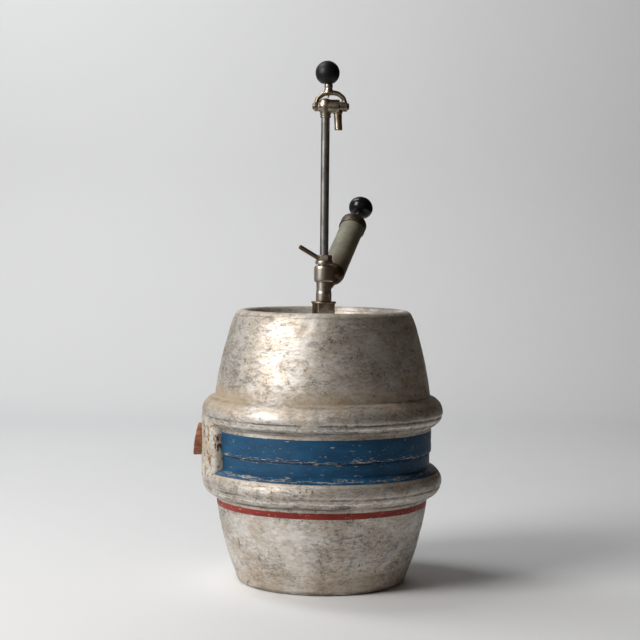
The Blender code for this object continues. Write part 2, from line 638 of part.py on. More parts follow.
def plunger(pump):
    """Rod, knob, piston, leather cup and nut that slide together."""
    add("plunger_rod", disc(PLUNGER_R, PISTON_Z - 0.0020, PLUNGER_TOP), STEEL, pump)
    knob = ellipsoid(PUMP_KNOB_R, PUMP_KNOB_HALF, PUMP_KNOB_Z, PUMP_KNOB_Z - 0.0150)
    ball = add("pump_knob", knob, BLACK, pump)
    socket = disc(PLUNGER_R + GAP, 0.2100, PLUNGER_TOP + GAP)
    combine(ball, tool("knob_socket_tool", socket, pump), "DIFFERENCE")
    hole = PLUNGER_R + GAP
    add("cup_leather", lathe([(hole, PISTON_Z), (0.0165, PISTON_Z), (0.0177, PISTON_Z - 0.0030),
                              (0.0179, PISTON_Z + 0.0060), (0.0167, PISTON_Z + 0.0060),
                              (0.0160, PISTON_Z + 0.0018), (hole, PISTON_Z + 0.0018)]), LEATHER, pump)
    add("piston_plate", tube(hole, 0.0140, PISTON_Z + 0.0018 + GAP, PISTON_Z + 0.0048), BRASS, pump)
    nut_hole = hole / math.cos(math.pi / 6)
    add("piston_nut", tube(nut_hole, 0.0064, PISTON_Z + 0.0048 + GAP, PISTON_Z + 0.0090, 6), BRASS, pump)


def check_valve(pump):
    """Loose six-sided disc that closes the air way under the pump base's seat."""
    add("valve_disc", disc(0.0055, VALVE_SEAT + 0.0002, VALVE_SEAT + 0.0017, 6), RUBBER, pump)


# ---------------------------------------------------------------- assembly
def main():
    for old in list(bpy.data.objects):
        bpy.data.objects.remove(old, do_unlink=True)
    shells = [shell_lower(), shell_upper(), seam_weld()]
    bung_boss(shells)
    wooden_bung()
    neck_bushing()
    neck_gasket()
    pump = empty("pump_axis", PUMP_ORIGIN, PUMP_DIRECTION)
    handle = empty("handle_axis", PIVOT)
    tap_base()
    tap_body(pump)
    union_sleeve()
    packing()
    gland()
    beer_rod()
    faucet_body()
    spout()
    valve_plug(handle)
    yoke(handle)
    yoke_screws(handle)
    ball_knob(handle)
    pump_base(pump)
    pump_tube(pump)
    pump_cap(pump)
    plunger(pump)
    check_valve(pump)
    for piece in bpy.data.objects:
        if piece.parent is None:
            piece.location.x += KEG_AXIS_X


main()
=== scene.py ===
import json
import math

import bmesh
import bpy
from mathutils import Matrix, Vector, noise


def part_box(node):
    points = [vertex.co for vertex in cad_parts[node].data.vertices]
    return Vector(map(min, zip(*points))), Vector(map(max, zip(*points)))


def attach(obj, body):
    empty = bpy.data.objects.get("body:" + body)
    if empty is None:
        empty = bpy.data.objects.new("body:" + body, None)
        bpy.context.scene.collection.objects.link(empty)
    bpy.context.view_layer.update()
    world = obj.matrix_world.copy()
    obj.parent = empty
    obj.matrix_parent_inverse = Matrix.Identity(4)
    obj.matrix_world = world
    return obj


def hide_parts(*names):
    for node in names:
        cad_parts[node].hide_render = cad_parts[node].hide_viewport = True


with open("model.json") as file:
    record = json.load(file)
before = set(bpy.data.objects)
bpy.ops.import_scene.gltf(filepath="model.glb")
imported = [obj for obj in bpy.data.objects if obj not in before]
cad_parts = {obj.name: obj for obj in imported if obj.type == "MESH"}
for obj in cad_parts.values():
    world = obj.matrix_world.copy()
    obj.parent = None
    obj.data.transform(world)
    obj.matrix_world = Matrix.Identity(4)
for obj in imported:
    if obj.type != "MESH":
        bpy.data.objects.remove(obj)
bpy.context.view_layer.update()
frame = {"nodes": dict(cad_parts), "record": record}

# ---------------------------------------------------------------- places read from the frame
RECORD = frame["record"]
JOINTS = {joint["name"]: joint for joint in RECORD["behaviour"]["joints"]}
BODY_OF = {node: body for body, nodes in RECORD["behaviour"]["bodies"].items() for node in nodes}
AXIS = Vector((JOINTS["gland_turn"]["pos_m"][0], 0.0, 0.0))     # pieces are built round the keg's axis


def low(node):
    """Lowest corner of a CAD node's box, from the keg's axis."""
    return Vector(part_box(node)[0]) - AXIS


def high(node):
    """Highest corner of a CAD node's box, from the keg's axis."""
    return Vector(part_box(node)[1]) - AXIS


def middle(node):
    """Centre of a CAD node's box."""
    return (low(node) + high(node)) / 2


SEAM_Z = middle("seam_weld").z
RIM_TOP = high("shell_upper").z
UPPER_RING_R = high("shell_upper").x
LOWER_RING_R = high("shell_lower").x
LOWER_WALL_R = 0.1728
UPPER_WALL_R = 0.1752
UPPER_RING_Z = 0.2735
LOWER_RING_Z = 0.1632
WALL = 0.0035
BLUE_BAND = (0.1796, 0.2456)
RED_BAND = (0.1245, 0.1342)
PIVOT = Vector(JOINTS["handle_tilt"]["pos_m"]) - AXIS
PUMP_DIRECTION = Vector(JOINTS["plunger_slide"]["axis"]).normalized()
PUMP_ORIGIN = Vector((-0.0022, 0.0, 0.4556))
BUNG_Z = middle("wooden_bung").z
TO_PUMP = Matrix.Translation(PUMP_ORIGIN) @ PUMP_DIRECTION.to_track_quat("Z", "Y").to_matrix().to_4x4()
TO_BUNG = Matrix.Translation((0, 0, BUNG_Z)) @ Matrix.Rotation(math.radians(-90), 4, "Y")


# ---------------------------------------------------------------- shader graphs
class Graph:
    """Short way to write a node material."""

    def __init__(self, name):
        self.material = bpy.data.materials.new(name)
        self.material.use_nodes = True
        self.tree = self.material.node_tree
        self.shader = self.tree.nodes["Principled BSDF"]
        self.place = self.make("ShaderNodeTexCoord").outputs["Object"]

    def make(self, kind, inputs=None, **settings):
        node = self.tree.nodes.new(kind)
        for name, value in settings.items():
            setattr(node, name, value)
        for name, value in (inputs or {}).items():
            self.put(node.inputs[name], value)
        return node

    def put(self, socket, value):
        if isinstance(value, bpy.types.NodeSocket):
            self.tree.links.new(value, socket)
        else:
            socket.default_value = value

    def stretched(self, scale):
        """Object coordinates scaled on each axis: a large number squeezes the pattern that way."""
        node = self.make("ShaderNodeVectorMath", {0: self.place, 1: scale}, operation="MULTIPLY")
        return node.outputs[0]

    def noise(self, scale, detail=4.0, rough=0.55, stretch=(1, 1, 1), twist=0.0):
        inputs = {"Vector": self.stretched(stretch), "Scale": scale, "Detail": detail,
                  "Roughness": rough, "Distortion": twist}
        return self.make("ShaderNodeTexNoise", inputs).outputs["Fac"]

    def cells(self, scale, stretch=(1, 1, 1)):
        inputs = {"Vector": self.stretched(stretch), "Scale": scale}
        return self.make("ShaderNodeTexVoronoi", inputs).outputs["Distance"]

    def span(self, value, start, end, to_low=0.0, to_high=1.0):
        """0 below start, 1 above end, smooth between; start may be the larger."""
        inputs = {"Value": value, "From Min": start, "From Max": end, "To Min": to_low, "To Max": to_high}
        node = self.make("ShaderNodeMapRange", inputs, interpolation_type="SMOOTHSTEP")
        return node.outputs[0]

    def math(self, operation, a, b=0.0, c=0.0):
        return self.make("ShaderNodeMath", {0: a, 1: b, 2: c}, operation=operation).outputs[0]

    def add(self, a, b):
        return self.math("ADD", a, b)

    def times(self, a, b):
        return self.math("MULTIPLY", a, b)

    def larger(self, a, b):
        return self.math("MAXIMUM", a, b)

    def less(self, a, b):
        """a with the mask b taken away."""
        return self.times(a, self.math("SUBTRACT", 1.0, b))

    def mix(self, share, a, b):
        node = self.make("ShaderNodeMix", data_type="RGBA")
        self.put(node.inputs[0], share)
        self.put(node.inputs[6], (*a, 1.0) if isinstance(a, tuple) else a)
        self.put(node.inputs[7], (*b, 1.0) if isinstance(b, tuple) else b)
        return node.outputs[2]

    def blend(self, share, a, b):
        """Number between a and b."""
        node = self.make("ShaderNodeMix", data_type="FLOAT")
        self.put(node.inputs[0], share)
        self.put(node.inputs[2], a)
        self.put(node.inputs[3], b)
        return node.outputs[0]

    def axis(self, index):
        return self.make("ShaderNodeSeparateXYZ", {0: self.place}).outputs[index]

    def near(self, value, centre, width):
        """1 at the centre, falling to 0 a width away on both sides."""
        away = self.math("ABSOLUTE", self.math("SUBTRACT", value, centre))
        return self.span(away, width, 0.0)

    def between(self, value, bottom, top, soft):
        inside = self.span(value, bottom - soft, bottom + soft)
        return self.times(inside, self.span(value, top + soft, top - soft))

    def close_to(self, point, radius):
        """1 at a point measured from the keg's axis, falling to 0 at the radius."""
        place = Vector(point) + AXIS
        node = self.make("ShaderNodeVectorMath", {0: self.place, 1: tuple(place)}, operation="DISTANCE")
        return self.span(node.outputs["Value"], radius, 0.0)

    def bump(self, height, distance, strength=1.0, over=None):
        inputs = {"Height": height, "Distance": distance, "Strength": strength}
        if over is not None:
            inputs["Normal"] = over
        return self.make("ShaderNodeBump", inputs).outputs["Normal"]

    def finish(self, colour, metallic, roughness, normal=None, **fixed):
        self.put(self.shader.inputs["Base Color"], (*colour, 1.0) if isinstance(colour, tuple) else colour)
        self.put(self.shader.inputs["Metallic"], metallic)
        self.put(self.shader.inputs["Roughness"], roughness)
        if normal is not None:
            self.put(self.shader.inputs["Normal"], normal)
        for name, value in fixed.items():
            self.shader.inputs[name.replace("_", " ")].default_value = value
        return self.material


# ---------------------------------------------------------------- materials
def keg_bare(g, streaks, patches, fine, pits):
    """Pale aluminium, darker where it has been handled; gives the colour and the smears' mask."""
    specks = g.noise(205.0, 5.0, 0.68, (1, 1, 1.3))
    zones = g.span(g.noise(6.5, 4.0, 0.62, (1, 1, 1.8), 0.6), 0.40, 0.60)
    handled = g.blend(zones, 0.35, 1.0)

    pale, grey, warm = (0.73, 0.695, 0.65), (0.22, 0.20, 0.183), (0.57, 0.495, 0.41)
    colour = g.mix(g.span(patches, 0.40, 0.60), pale, warm)
    smear = g.times(g.span(streaks, 0.49, 0.60), handled)
    colour = g.mix(g.times(smear, 0.80), colour, grey)
    colour = g.mix(g.times(g.span(fine, 0.52, 0.61, 0.0, 0.80), handled), colour, (0.19, 0.170, 0.150))
    colour = g.mix(g.span(fine, 0.46, 0.37, 0.0, 0.60), colour, (0.94, 0.92, 0.88))
    colour = g.mix(g.times(g.span(specks, 0.60, 0.66), handled), colour, (0.06, 0.050, 0.042))
    colour = g.mix(g.times(zones, 0.22), colour, (0.22, 0.185, 0.155))
    dark_spots = g.times(g.span(pits, 0.56, 0.62), g.span(patches, 0.44, 0.56))
    colour = g.mix(g.times(dark_spots, 0.85), colour, (0.085, 0.075, 0.066))
    return colour, smear


def keg_stains_and_shade(g, colour, zw, fine):
    """Tan stains, dark lines of grime and painted shade in the grooves and under the rings, and pale bands
    of rubbed metal and painted highlight on the ridges; gives the colour and the masks.
    """
    tan = g.larger(g.near(zw, 0.300, 0.030), g.near(zw, 0.1815, 0.013))
    tan = g.larger(tan, g.times(g.near(zw, 0.432, 0.014), 0.25))
    tan = g.larger(tan, g.times(g.near(zw, 0.010, 0.045), 0.55))
    tan = g.larger(tan, g.times(g.near(zw, 0.2500, 0.006), 0.5))
    tan = g.times(tan, g.span(g.noise(9.0, 6.0, 0.65, (1, 1, 1.5), 0.6), 0.30, 0.66))
    colour = g.mix(g.times(tan, 0.95), colour, (0.40, 0.315, 0.215))
    rust = g.times(tan, g.span(g.noise(38.0, 6.0, 0.7, (1, 1, 2)), 0.55, 0.72))
    colour = g.mix(g.times(rust, 0.8), colour, (0.22, 0.10, 0.035))

    # Dark lines in the grooves, under the rings, at the rim and at the foot: grime, and painted shade where
    # these hollows and undersides fall in shade.
    grime_and_shade = g.near(zw, 0.2688, 0.0026)
    for height, width, strength in ((0.2568, 0.0024, 0.9), (0.2950, 0.0030, 0.45), (0.1568, 0.0028, 0.9),
                                    (0.1405, 0.0040, 0.9), (0.1740, 0.0020, 0.35), (0.4275, 0.0020, 0.5),
                                    (0.0035, 0.0050, 0.7)):
        grime_and_shade = g.larger(grime_and_shade, g.times(g.near(zw, height, width), strength))
    grime_and_shade = g.times(grime_and_shade, g.span(g.noise(26.0, 5.0, 0.7, (1, 1, 3)), 0.34, 0.60))
    colour = g.mix(g.times(grime_and_shade, 0.9), colour, (0.06, 0.052, 0.046))
    # Pale bands on the ridges under the rings: rubbed metal, with a painted highlight where the ridge
    # catches the light.
    ridge = g.larger(g.near(zw, 0.2622, 0.0022), g.near(zw, 0.1500, 0.0022))
    ridge = g.times(ridge, g.span(fine, 0.56, 0.48))
    colour = g.mix(g.times(ridge, 0.7), colour, (0.86, 0.84, 0.80))
    return colour, tan, grime_and_shade


def keg_paint(g, colour, z, zw, offset, fine):
    """Chipped blue band, red stripe and the dark line at the seam, which is the joint with painted shade
    under the lap's step; gives the colour and the paint's mask.
    """
    chips = g.noise(70.0, 8.0, 0.74, (1, 1, 4.5), 0.4)
    scratches = g.noise(46.0, 6.0, 0.72, (1, 1, 16), 0.2)
    seam = g.larger(g.near(zw, SEAM_Z + 0.0012, 0.0065), g.near(zw, 0.1840, 0.0060))
    worn = g.span(g.add(chips, g.times(seam, 0.075)), 0.632, 0.650)
    worn = g.larger(worn, g.span(g.add(scratches, g.times(seam, 0.11)), 0.660, 0.680))
    worn_red = g.larger(worn, g.span(chips, 0.60, 0.64))
    blue = g.less(g.between(g.add(z, g.times(offset, 0.35)), *BLUE_BAND, 0.0004), worn)
    red_top = g.between(g.add(z, g.times(offset, 0.45)), *RED_BAND, 0.0004)
    red = g.less(red_top, worn_red)
    shade = g.noise(24.0, 5.0, 0.6, (1, 1, 3))
    blue_colour = g.mix(g.span(shade, 0.35, 0.7), (0.006, 0.052, 0.118), (0.011, 0.080, 0.170))
    blue_colour = g.mix(g.span(fine, 0.60, 0.72, 0.0, 0.35), blue_colour, (0.05, 0.07, 0.09))
    red_colour = g.mix(g.span(shade, 0.35, 0.7), (0.21, 0.019, 0.012), (0.30, 0.040, 0.025))
    colour = g.mix(blue, colour, blue_colour)
    colour = g.mix(red, colour, red_colour)
    # Dark line at the seam: the joint, and painted shade under the step where the upper shell overlaps the
    # lower.
    line = g.near(g.add(z, g.times(offset, 0.5)), SEAM_Z - 0.0006, 0.0016)
    line = g.times(line, g.span(g.noise(30.0, 4.0, 0.6), 0.36, 0.56))
    colour = g.mix(g.times(line, 0.9), colour, (0.022, 0.022, 0.026))
    return colour, g.larger(blue, red)


def keg_metal():
    """Worn aluminium with stains, lines of grime and painted shade, pale bands of painted highlight on the
    ridges, the blue band, the red stripe and a seam line with painted shade.
    """
    g = Graph("keg_metal")
    z = g.axis(2)
    wander = g.noise(14.0, 4.0, 0.6)
    ragged = g.noise(120.0, 5.0, 0.65, (1, 1, 2))
    offset = g.add(g.times(g.math("SUBTRACT", wander, 0.5), 0.004),
                   g.times(g.math("SUBTRACT", ragged, 0.5), 0.003))
    zw = g.add(z, offset)

    streaks = g.noise(34.0, 12.0, 0.80, (1, 1, 2.6), 0.5)
    patches = g.noise(17.0, 10.0, 0.74, (1, 1, 1.5), 0.9)
    fine = g.noise(120.0, 8.0, 0.82, (1, 1, 2.4))
    pits = g.noise(80.0, 9.0, 0.80)

    colour, smear = keg_bare(g, streaks, patches, fine, pits)
    colour, tan, grime_and_shade = keg_stains_and_shade(g, colour, zw, fine)
    colour, paint = keg_paint(g, colour, z, zw, offset, fine)
    # Tan stains and the lines of grime and painted shade also make the metal there less metallic and
    # rougher.
    stains_and_shade = g.larger(g.times(tan, 0.75), g.times(grime_and_shade, 0.9))
    metal = g.less(g.less(g.blend(smear, 0.82, 0.62), paint), stains_and_shade)
    rough = g.blend(streaks, 0.42, 0.68)
    rough = g.blend(stains_and_shade, rough, 0.75)
    rough = g.blend(paint, rough, 0.50)
    height = g.add(g.times(streaks, 0.5), g.times(fine, 0.35))
    height = g.add(height, g.times(pits, 0.55))
    normal = g.bump(height, 0.0011, 0.55)
    normal = g.bump(g.times(paint, 1.0), 0.00025, 0.8, normal)
    return g.finish(colour, metal, rough, normal, Specular_IOR_Level=0.3)


def cast_boss():
    """Cream, chalky cast aluminium with brown pits and a corroded crack."""
    g = Graph("cast_boss")
    broad = g.noise(30.0, 6.0, 0.62)
    grain = g.noise(170.0, 6.0, 0.7)
    pits = g.noise(120.0, 4.0, 0.62)
    colour = g.mix(g.span(broad, 0.38, 0.62), (0.60, 0.565, 0.50), (0.47, 0.40, 0.31))
    colour = g.mix(g.span(grain, 0.48, 0.62, 0.0, 0.7), colour, (0.30, 0.27, 0.235))
    stain = g.times(g.span(pits, 0.56, 0.62), g.span(broad, 0.38, 0.54))
    colour = g.mix(g.times(stain, 0.9), colour, (0.20, 0.095, 0.045))
    crack = g.larger(g.close_to((-0.162, -0.077, 0.2350), 0.0130),
                     g.close_to((-0.162, -0.078, 0.2230), 0.0120))
    crack = g.larger(crack, g.times(g.close_to((-0.186, -0.052, 0.2400), 0.0120), 0.6))
    crack = g.times(crack, g.span(g.noise(170.0, 6.0, 0.75, (2.2, 2.2, 0.7)), 0.44, 0.53))
    colour = g.mix(g.span(crack, 0.10, 0.40), colour, (0.075, 0.028, 0.014))
    z = g.axis(2)
    crest = g.larger(g.span(z, 0.262, 0.270), g.span(z, 0.176, 0.168))
    colour = g.mix(g.times(crest, 0.55), colour, (0.52, 0.51, 0.50))
    height = g.add(g.times(grain, 0.5), g.times(g.span(pits, 0.60, 0.52), 0.8))
    height = g.add(height, g.times(broad, 0.6))
    rough = g.blend(crest, 0.68, 0.48)
    return g.finish(colour, g.blend(crest, 0.25, 0.7), rough, g.bump(height, 0.0010, 0.6))


def nickel(name="worn_nickel", tarnish=0.5, warm=0.0):
    """Old nickel plate, warm and slightly yellow, brown where it is worn or dirty."""
    g = Graph(name)
    broad = g.noise(55.0, 5.0, 0.6)
    fine = g.noise(420.0, 4.0, 0.65)
    scratches = g.noise(330.0, 3.0, 0.6, (1, 1, 0.12))
    bright = (0.56 - 0.12 * warm, 0.50 - 0.13 * warm, 0.43 - 0.15 * warm)
    dull = (0.24 - 0.04 * warm, 0.19 - 0.03 * warm, 0.14 - 0.03 * warm)
    colour = g.mix(g.span(broad, 0.62 - 0.30 * tarnish, 0.80 - 0.20 * tarnish), bright, dull)
    colour = g.mix(g.span(fine, 0.60, 0.76, 0.0, 0.6), colour, (0.16, 0.12, 0.085))
    rough = g.add(g.blend(broad, 0.24, 0.42), g.span(scratches, 0.55, 0.75, 0.0, 0.12))
    height = g.add(g.times(fine, 0.4), g.times(broad, 0.8))
    return g.finish(colour, 1.0, rough, g.bump(height, 0.00022, 0.5), Specular_Tint=(0.34, 0.29, 0.24, 1.0))


def dark_brass(name="tarnished_brass", light=1.0):
    """Brass gone dark brown, with some yellow on its edges; light scales how pale it is."""
    g = Graph(name)
    broad = g.noise(70.0, 5.0, 0.62)
    fine = g.noise(500.0, 4.0, 0.65)
    tones = (0.085, 0.064, 0.048), (0.20, 0.155, 0.11)
    dark, pale = [tuple(light * channel for channel in tone) for tone in tones]
    colour = g.mix(g.span(broad, 0.40, 0.68), dark, pale)
    colour = g.mix(g.span(fine, 0.58, 0.74, 0.0, 0.6), colour, (0.04, 0.030, 0.024))
    rough = g.blend(broad, 0.34, 0.55)
    return g.finish(colour, 0.9, rough, g.bump(g.add(fine, broad), 0.0002, 0.5))


def rod_steel():
    """Dark steel with grey rubbed streaks along the rod."""
    g = Graph("rod_steel")
    streaks = g.noise(240.0, 5.0, 0.7, (1, 1, 0.07))
    mottle = g.noise(110.0, 6.0, 0.68, (1, 1, 0.5))
    colour = g.mix(g.span(mottle, 0.36, 0.66), (0.27, 0.26, 0.25), (0.165, 0.155, 0.148))
    colour = g.mix(g.span(streaks, 0.56, 0.70, 0.0, 0.5), colour, (0.38, 0.365, 0.35))
    rough = g.blend(mottle, 0.36, 0.50)
    return g.finish(colour, 0.9, rough, g.bump(streaks, 0.00005, 0.5),
                    Specular_Tint=(0.35, 0.33, 0.31, 1.0))


def pump_paint():
    """Faded grey-green paint over metal, brown towards the pump's foot."""
    g = Graph("pump_paint")
    axis = g.make("ShaderNodeVectorMath", {0: g.place, 1: tuple(PUMP_DIRECTION)}, operation="DOT_PRODUCT")
    start = (PUMP_ORIGIN + AXIS).dot(PUMP_DIRECTION)
    along = g.math("SUBTRACT", axis.outputs["Value"], start)
    broad = g.noise(42.0, 6.0, 0.62)
    fine = g.noise(330.0, 5.0, 0.7)
    colour = g.mix(g.span(broad, 0.35, 0.66), (0.225, 0.218, 0.165), (0.170, 0.160, 0.122))
    foot = g.span(g.add(along, g.times(g.math("SUBTRACT", broad, 0.5), 0.05)), 0.100, 0.062)
    colour = g.mix(g.times(foot, 0.8), colour, (0.190, 0.140, 0.105))
    colour = g.mix(g.span(g.noise(120.0, 8.0, 0.8), 0.54, 0.64, 0.0, 0.45), colour, (0.12, 0.100, 0.075))
    colour = g.mix(g.span(fine, 0.58, 0.68, 0.0, 0.70), colour, (0.07, 0.060, 0.048))
    chips = g.span(g.noise(150.0, 6.0, 0.7), 0.665, 0.69)
    colour = g.mix(chips, colour, (0.20, 0.13, 0.08))
    height = g.add(g.times(fine, 0.5), g.times(chips, -0.6))
    rough = g.blend(broad, 0.48, 0.62)
    return g.finish(colour, g.blend(foot, 0.10, 0.45), rough, g.bump(height, 0.0003, 0.6),
                    Specular_IOR_Level=0.3)


def bung_wood():
    """Red-brown hardwood: end grain pores, rings and dark cracks."""
    g = Graph("bung_wood")
    grain = g.noise(60.0, 6.0, 0.65, (1, 5, 1.2), 0.6)
    pores = g.noise(700.0, 3.0, 0.6, (0.2, 1, 1))
    colour = g.mix(g.span(grain, 0.36, 0.66), (0.34, 0.135, 0.058), (0.135, 0.045, 0.022))
    colour = g.mix(g.span(pores, 0.58, 0.70, 0.0, 0.7), colour, (0.06, 0.022, 0.014))
    dry = g.span(g.noise(36.0, 4.0, 0.6), 0.52, 0.72)
    colour = g.mix(g.times(dry, 0.5), colour, (0.45, 0.24, 0.12))
    return g.finish(colour, 0.0, g.blend(grain, 0.62, 0.85), g.bump(g.add(grain, pores), 0.0007, 0.7))


def black_moulding(name, rough_low, rough_high, tone):
    """Black moulded plastic with faint scuffs."""
    g = Graph(name)
    broad = g.noise(90.0, 4.0, 0.6)
    fine = g.noise(800.0, 3.0, 0.6)
    scuffs = g.noise(160.0, 6.0, 0.72, (1, 1, 3))
    colour = g.mix(g.span(broad, 0.35, 0.7), (tone, tone, tone * 1.08),
                   (tone * 1.8, tone * 1.8, tone * 1.9))
    colour = g.mix(g.span(scuffs, 0.66, 0.74, 0.0, 0.35), colour, (0.09, 0.088, 0.085))
    rough = g.add(g.blend(broad, rough_low, rough_high), g.span(scuffs, 0.62, 0.75, 0.0, 0.15))
    return g.finish(colour, 0.0, rough, g.bump(fine, 0.00006, 0.5), Specular_IOR_Level=0.32)


def soft_black():
    """Dull rubber."""
    g = Graph("soft_black")
    broad = g.noise(150.0, 4.0, 0.6)
    colour = g.mix(broad, (0.018, 0.017, 0.016), (0.045, 0.042, 0.038))
    return g.finish(colour, 0.0, g.blend(broad, 0.7, 0.9), g.bump(broad, 0.0002, 0.5))


def oiled_leather():
    """Brown leather."""
    g = Graph("oiled_leather")
    grain = g.cells(900.0)
    broad = g.noise(120.0, 4.0, 0.6)
    colour = g.mix(broad, (0.12, 0.055, 0.025), (0.24, 0.125, 0.06))
    return g.finish(colour, 0.0, g.blend(broad, 0.5, 0.75), g.bump(grain, 0.0002, 0.6))


# ---------------------------------------------------------------- mesh making
def rounded(points, steps=4):
    """Outline of (radius, height, corner) points with each corner turned into a short curve."""
    outline = []
    last = len(points) - 1
    for i, (r, z, corner) in enumerate(points):
        here = Vector((r, z))
        if corner <= 0 or i in (0, last):
            outline.append((r, z))
            continue
        before = Vector(points[i - 1][:2]) - here
        after = Vector(points[i + 1][:2]) - here
        reach = min(corner, 0.48 * before.length, 0.48 * after.length)
        start = here + before.normalized() * reach
        end = here + after.normalized() * reach
        for k in range(steps + 1):
            t = k / steps
            p = start * (1 - t) ** 2 + here * 2 * t * (1 - t) + end * t ** 2
            outline.append((p.x, p.y))
    return outline


def smooth_run(points, steps=6):
    """Catmull-Rom curve through (radius, height) points."""
    run = []
    ends = [points[0]] + list(points) + [points[-1]]
    for a, b, c, d in zip(ends, ends[1:], ends[2:], ends[3:]):
        for k in range(steps):
            t = k / steps
            run.append(tuple(0.5 * (2 * q + (r - p) * t + (2 * p - 5 * q + 4 * r - s) * t * t
                                    + (3 * q - p - 3 * r + s) * t ** 3)
                             for p, q, r, s in zip(a, b, c, d)))
    return run + [tuple(points[-1])]


def turned(profile, steps=96, ring=True, ripple=None):
    """Body of revolution about +Z; ripple(angle, r, z) gives a change of radius."""
    bm = bmesh.new()
    loops = []
    for r, z in profile:
        if r < 1e-6:
            loops.append([bm.verts.new((0, 0, z))])
            continue
        loop = []
        for i in range(steps):
            angle = math.tau * i / steps
            radius = r + (ripple(angle, r, z) if ripple else 0.0)
            loop.append(bm.verts.new((radius * math.cos(angle), radius * math.sin(angle), z)))
        loops.append(loop)
    pairs = list(zip(loops, loops[1:]))
    if ring:
        pairs.append((loops[-1], loops[0]))
    for a, b in pairs:
        for i in range(steps):
            j = (i + 1) % steps
            corners = (a[i % len(a)], a[j % len(a)], b[j % len(b)], b[i % len(b)])
            unique = list(dict.fromkeys(corners))
            if len(unique) > 2:
                bm.faces.new(unique)
    bmesh.ops.recalc_face_normals(bm, faces=bm.faces)
    return bm


def cylinder(radius, start, end, steps):
    """Plain cylinder about +Z."""
    return turned([(0, start), (radius, start), (radius, end), (0, end)], steps, False)


def lofted(loops):
    """Closed skin over a row of loops of points."""
    bm = bmesh.new()
    rows = [[bm.verts.new(p) for p in loop] for loop in loops]
    count = len(rows[0])
    for a, b in zip(rows, rows[1:]):
        for i in range(count):
            j = (i + 1) % count
            bm.faces.new((a[i], a[j], b[j], b[i]))
    bm.faces.new(rows[0][::-1])
    bm.faces.new(rows[-1])
    bmesh.ops.recalc_face_normals(bm, faces=bm.faces)
    return bm


def slab(half_x, half_y, start, end):
    """Box about +Z, for cutting slots."""
    corners = ((-half_x, -half_y), (half_x, -half_y), (half_x, half_y), (-half_x, half_y))
    return lofted([[(x, y, z) for x, y in corners] for z in (start, end)])


def swept(path, size_at, steps=20):
    """Oval bar along a path in the XZ plane; size_at(t) gives its half thickness and half depth."""
    loops = []
    last = len(path) - 1
    for i, point in enumerate(path):
        before, after = path[max(0, i - 1)], path[min(last, i + 1)]
        along = (Vector(after) - Vector(before)).normalized()
        side = Vector((0, 1, 0)).cross(along).normalized()
        thick, deep = size_at(i / last)
        loop = []
        for k in range(steps):
            angle = math.tau * k / steps
            across = Vector((0, deep * math.sin(angle), 0))
            loop.append(Vector(point) + side * (thick * math.cos(angle)) + across)
        loops.append(loop)
    return lofted(loops)


def link(name, bm):
    """Mesh object from a bmesh, shaded smooth."""
    mesh = bpy.data.meshes.new(name)
    bm.to_mesh(mesh)
    bm.free()
    mesh.shade_smooth()
    made = bpy.data.objects.new(name, mesh)
    bpy.context.scene.collection.objects.link(made)
    return made


def settle(obj):
    """Apply an object's modifiers and keep the result as its mesh."""
    graph = bpy.context.evaluated_depsgraph_get()
    mesh = bpy.data.meshes.new_from_object(obj.evaluated_get(graph))
    obj.modifiers.clear()
    obj.data = mesh
    mesh.shade_smooth()
    return obj


def boolean(obj, other, operation):
    """Join or cut with another mesh object, which is used up."""
    modifier = obj.modifiers.new("shape", "BOOLEAN")
    modifier.operation = operation
    modifier.solver = "EXACT"
    modifier.object = other
    settle(obj)
    bpy.data.objects.remove(other, do_unlink=True)
    return obj


def cast_together(obj, voxel, rounds):
    """Remesh joined solids and round the hollows between them, as a casting has."""
    modifier = obj.modifiers.new("remesh", "REMESH")
    modifier.mode = "VOXEL"
    modifier.voxel_size = voxel
    smooth = obj.modifiers.new("smooth", "SMOOTH")
    smooth.factor = 0.5
    smooth.iterations = rounds
    return settle(obj)


def wear_shape(obj, amount, scale, seed):
    """Push the surface in and out a little with a fixed noise."""
    mesh = obj.data
    shift = Vector((seed * 3.1, seed * 1.7, seed * 2.3))
    normals = [v.normal.copy() for v in mesh.vertices]
    for vertex, normal in zip(mesh.vertices, normals):
        push = noise.noise(vertex.co * scale + shift) - 0.35
        vertex.co += normal * (amount * push)
    mesh.update()


def show(obj, nodes, material, crisp=35.0):
    """Give a piece its material, body, slot and the CAD nodes that it stands for."""
    nodes = [nodes] if isinstance(nodes, str) else nodes
    obj.data.transform(Matrix.Translation(AXIS))
    obj.data.materials.clear()
    obj.data.materials.append(material)
    obj.data.set_sharp_from_angle(angle=math.radians(crisp))
    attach(obj, BODY_OF[nodes[0]])
    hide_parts(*nodes)
    return obj


# ---------------------------------------------------------------- keg
def groove(z, centre, width, depth):
    """Depth of a rounded groove at a height."""
    t = (z - centre) / width
    return depth * math.exp(-t * t)


def ring_height(z, crest_z, half_height, sharp):
    """Share of a rolling ring's height, 1 at its crest and 0 at its roots."""
    t = abs(z - crest_z) / half_height
    if t >= 1:
        return 0.0
    return (1 - t ** 2) ** sharp


WALL_STATIONS = ((0.0100, 0.1370), (0.0258, 0.1434), (0.0418, 0.1493), (0.0578, 0.1541), (0.0738, 0.1583),
                 (0.0898, 0.1622), (0.1058, 0.1656), (0.1218, 0.1683), (0.1378, 0.1704), (0.1700, 0.1722),
                 (0.1880, 0.1727), (0.2080, 0.1728))
UPPER_STATIONS = ((0.2120, 0.1752), (0.2510, 0.1751), (0.2735, 0.1743), (0.2960, 0.1728), (0.3154, 0.1709),
                  (0.3346, 0.1674), (0.3538, 0.1635), (0.3730, 0.1588), (0.3922, 0.1536), (0.4080, 0.1491),
                  (0.4210, 0.1447))


def wall_radius(z):
    """Radius of the keg's wall without its rings."""
    stations = WALL_STATIONS if z < SEAM_Z else UPPER_STATIONS
    for (z0, r0), (z1, r1) in zip(stations, stations[1:]):
        if z <= z1:
            t = min(1.0, max(0.0, (z - z0) / (z1 - z0)))
            return r0 + (r1 - r0) * t
    return stations[-1][1]


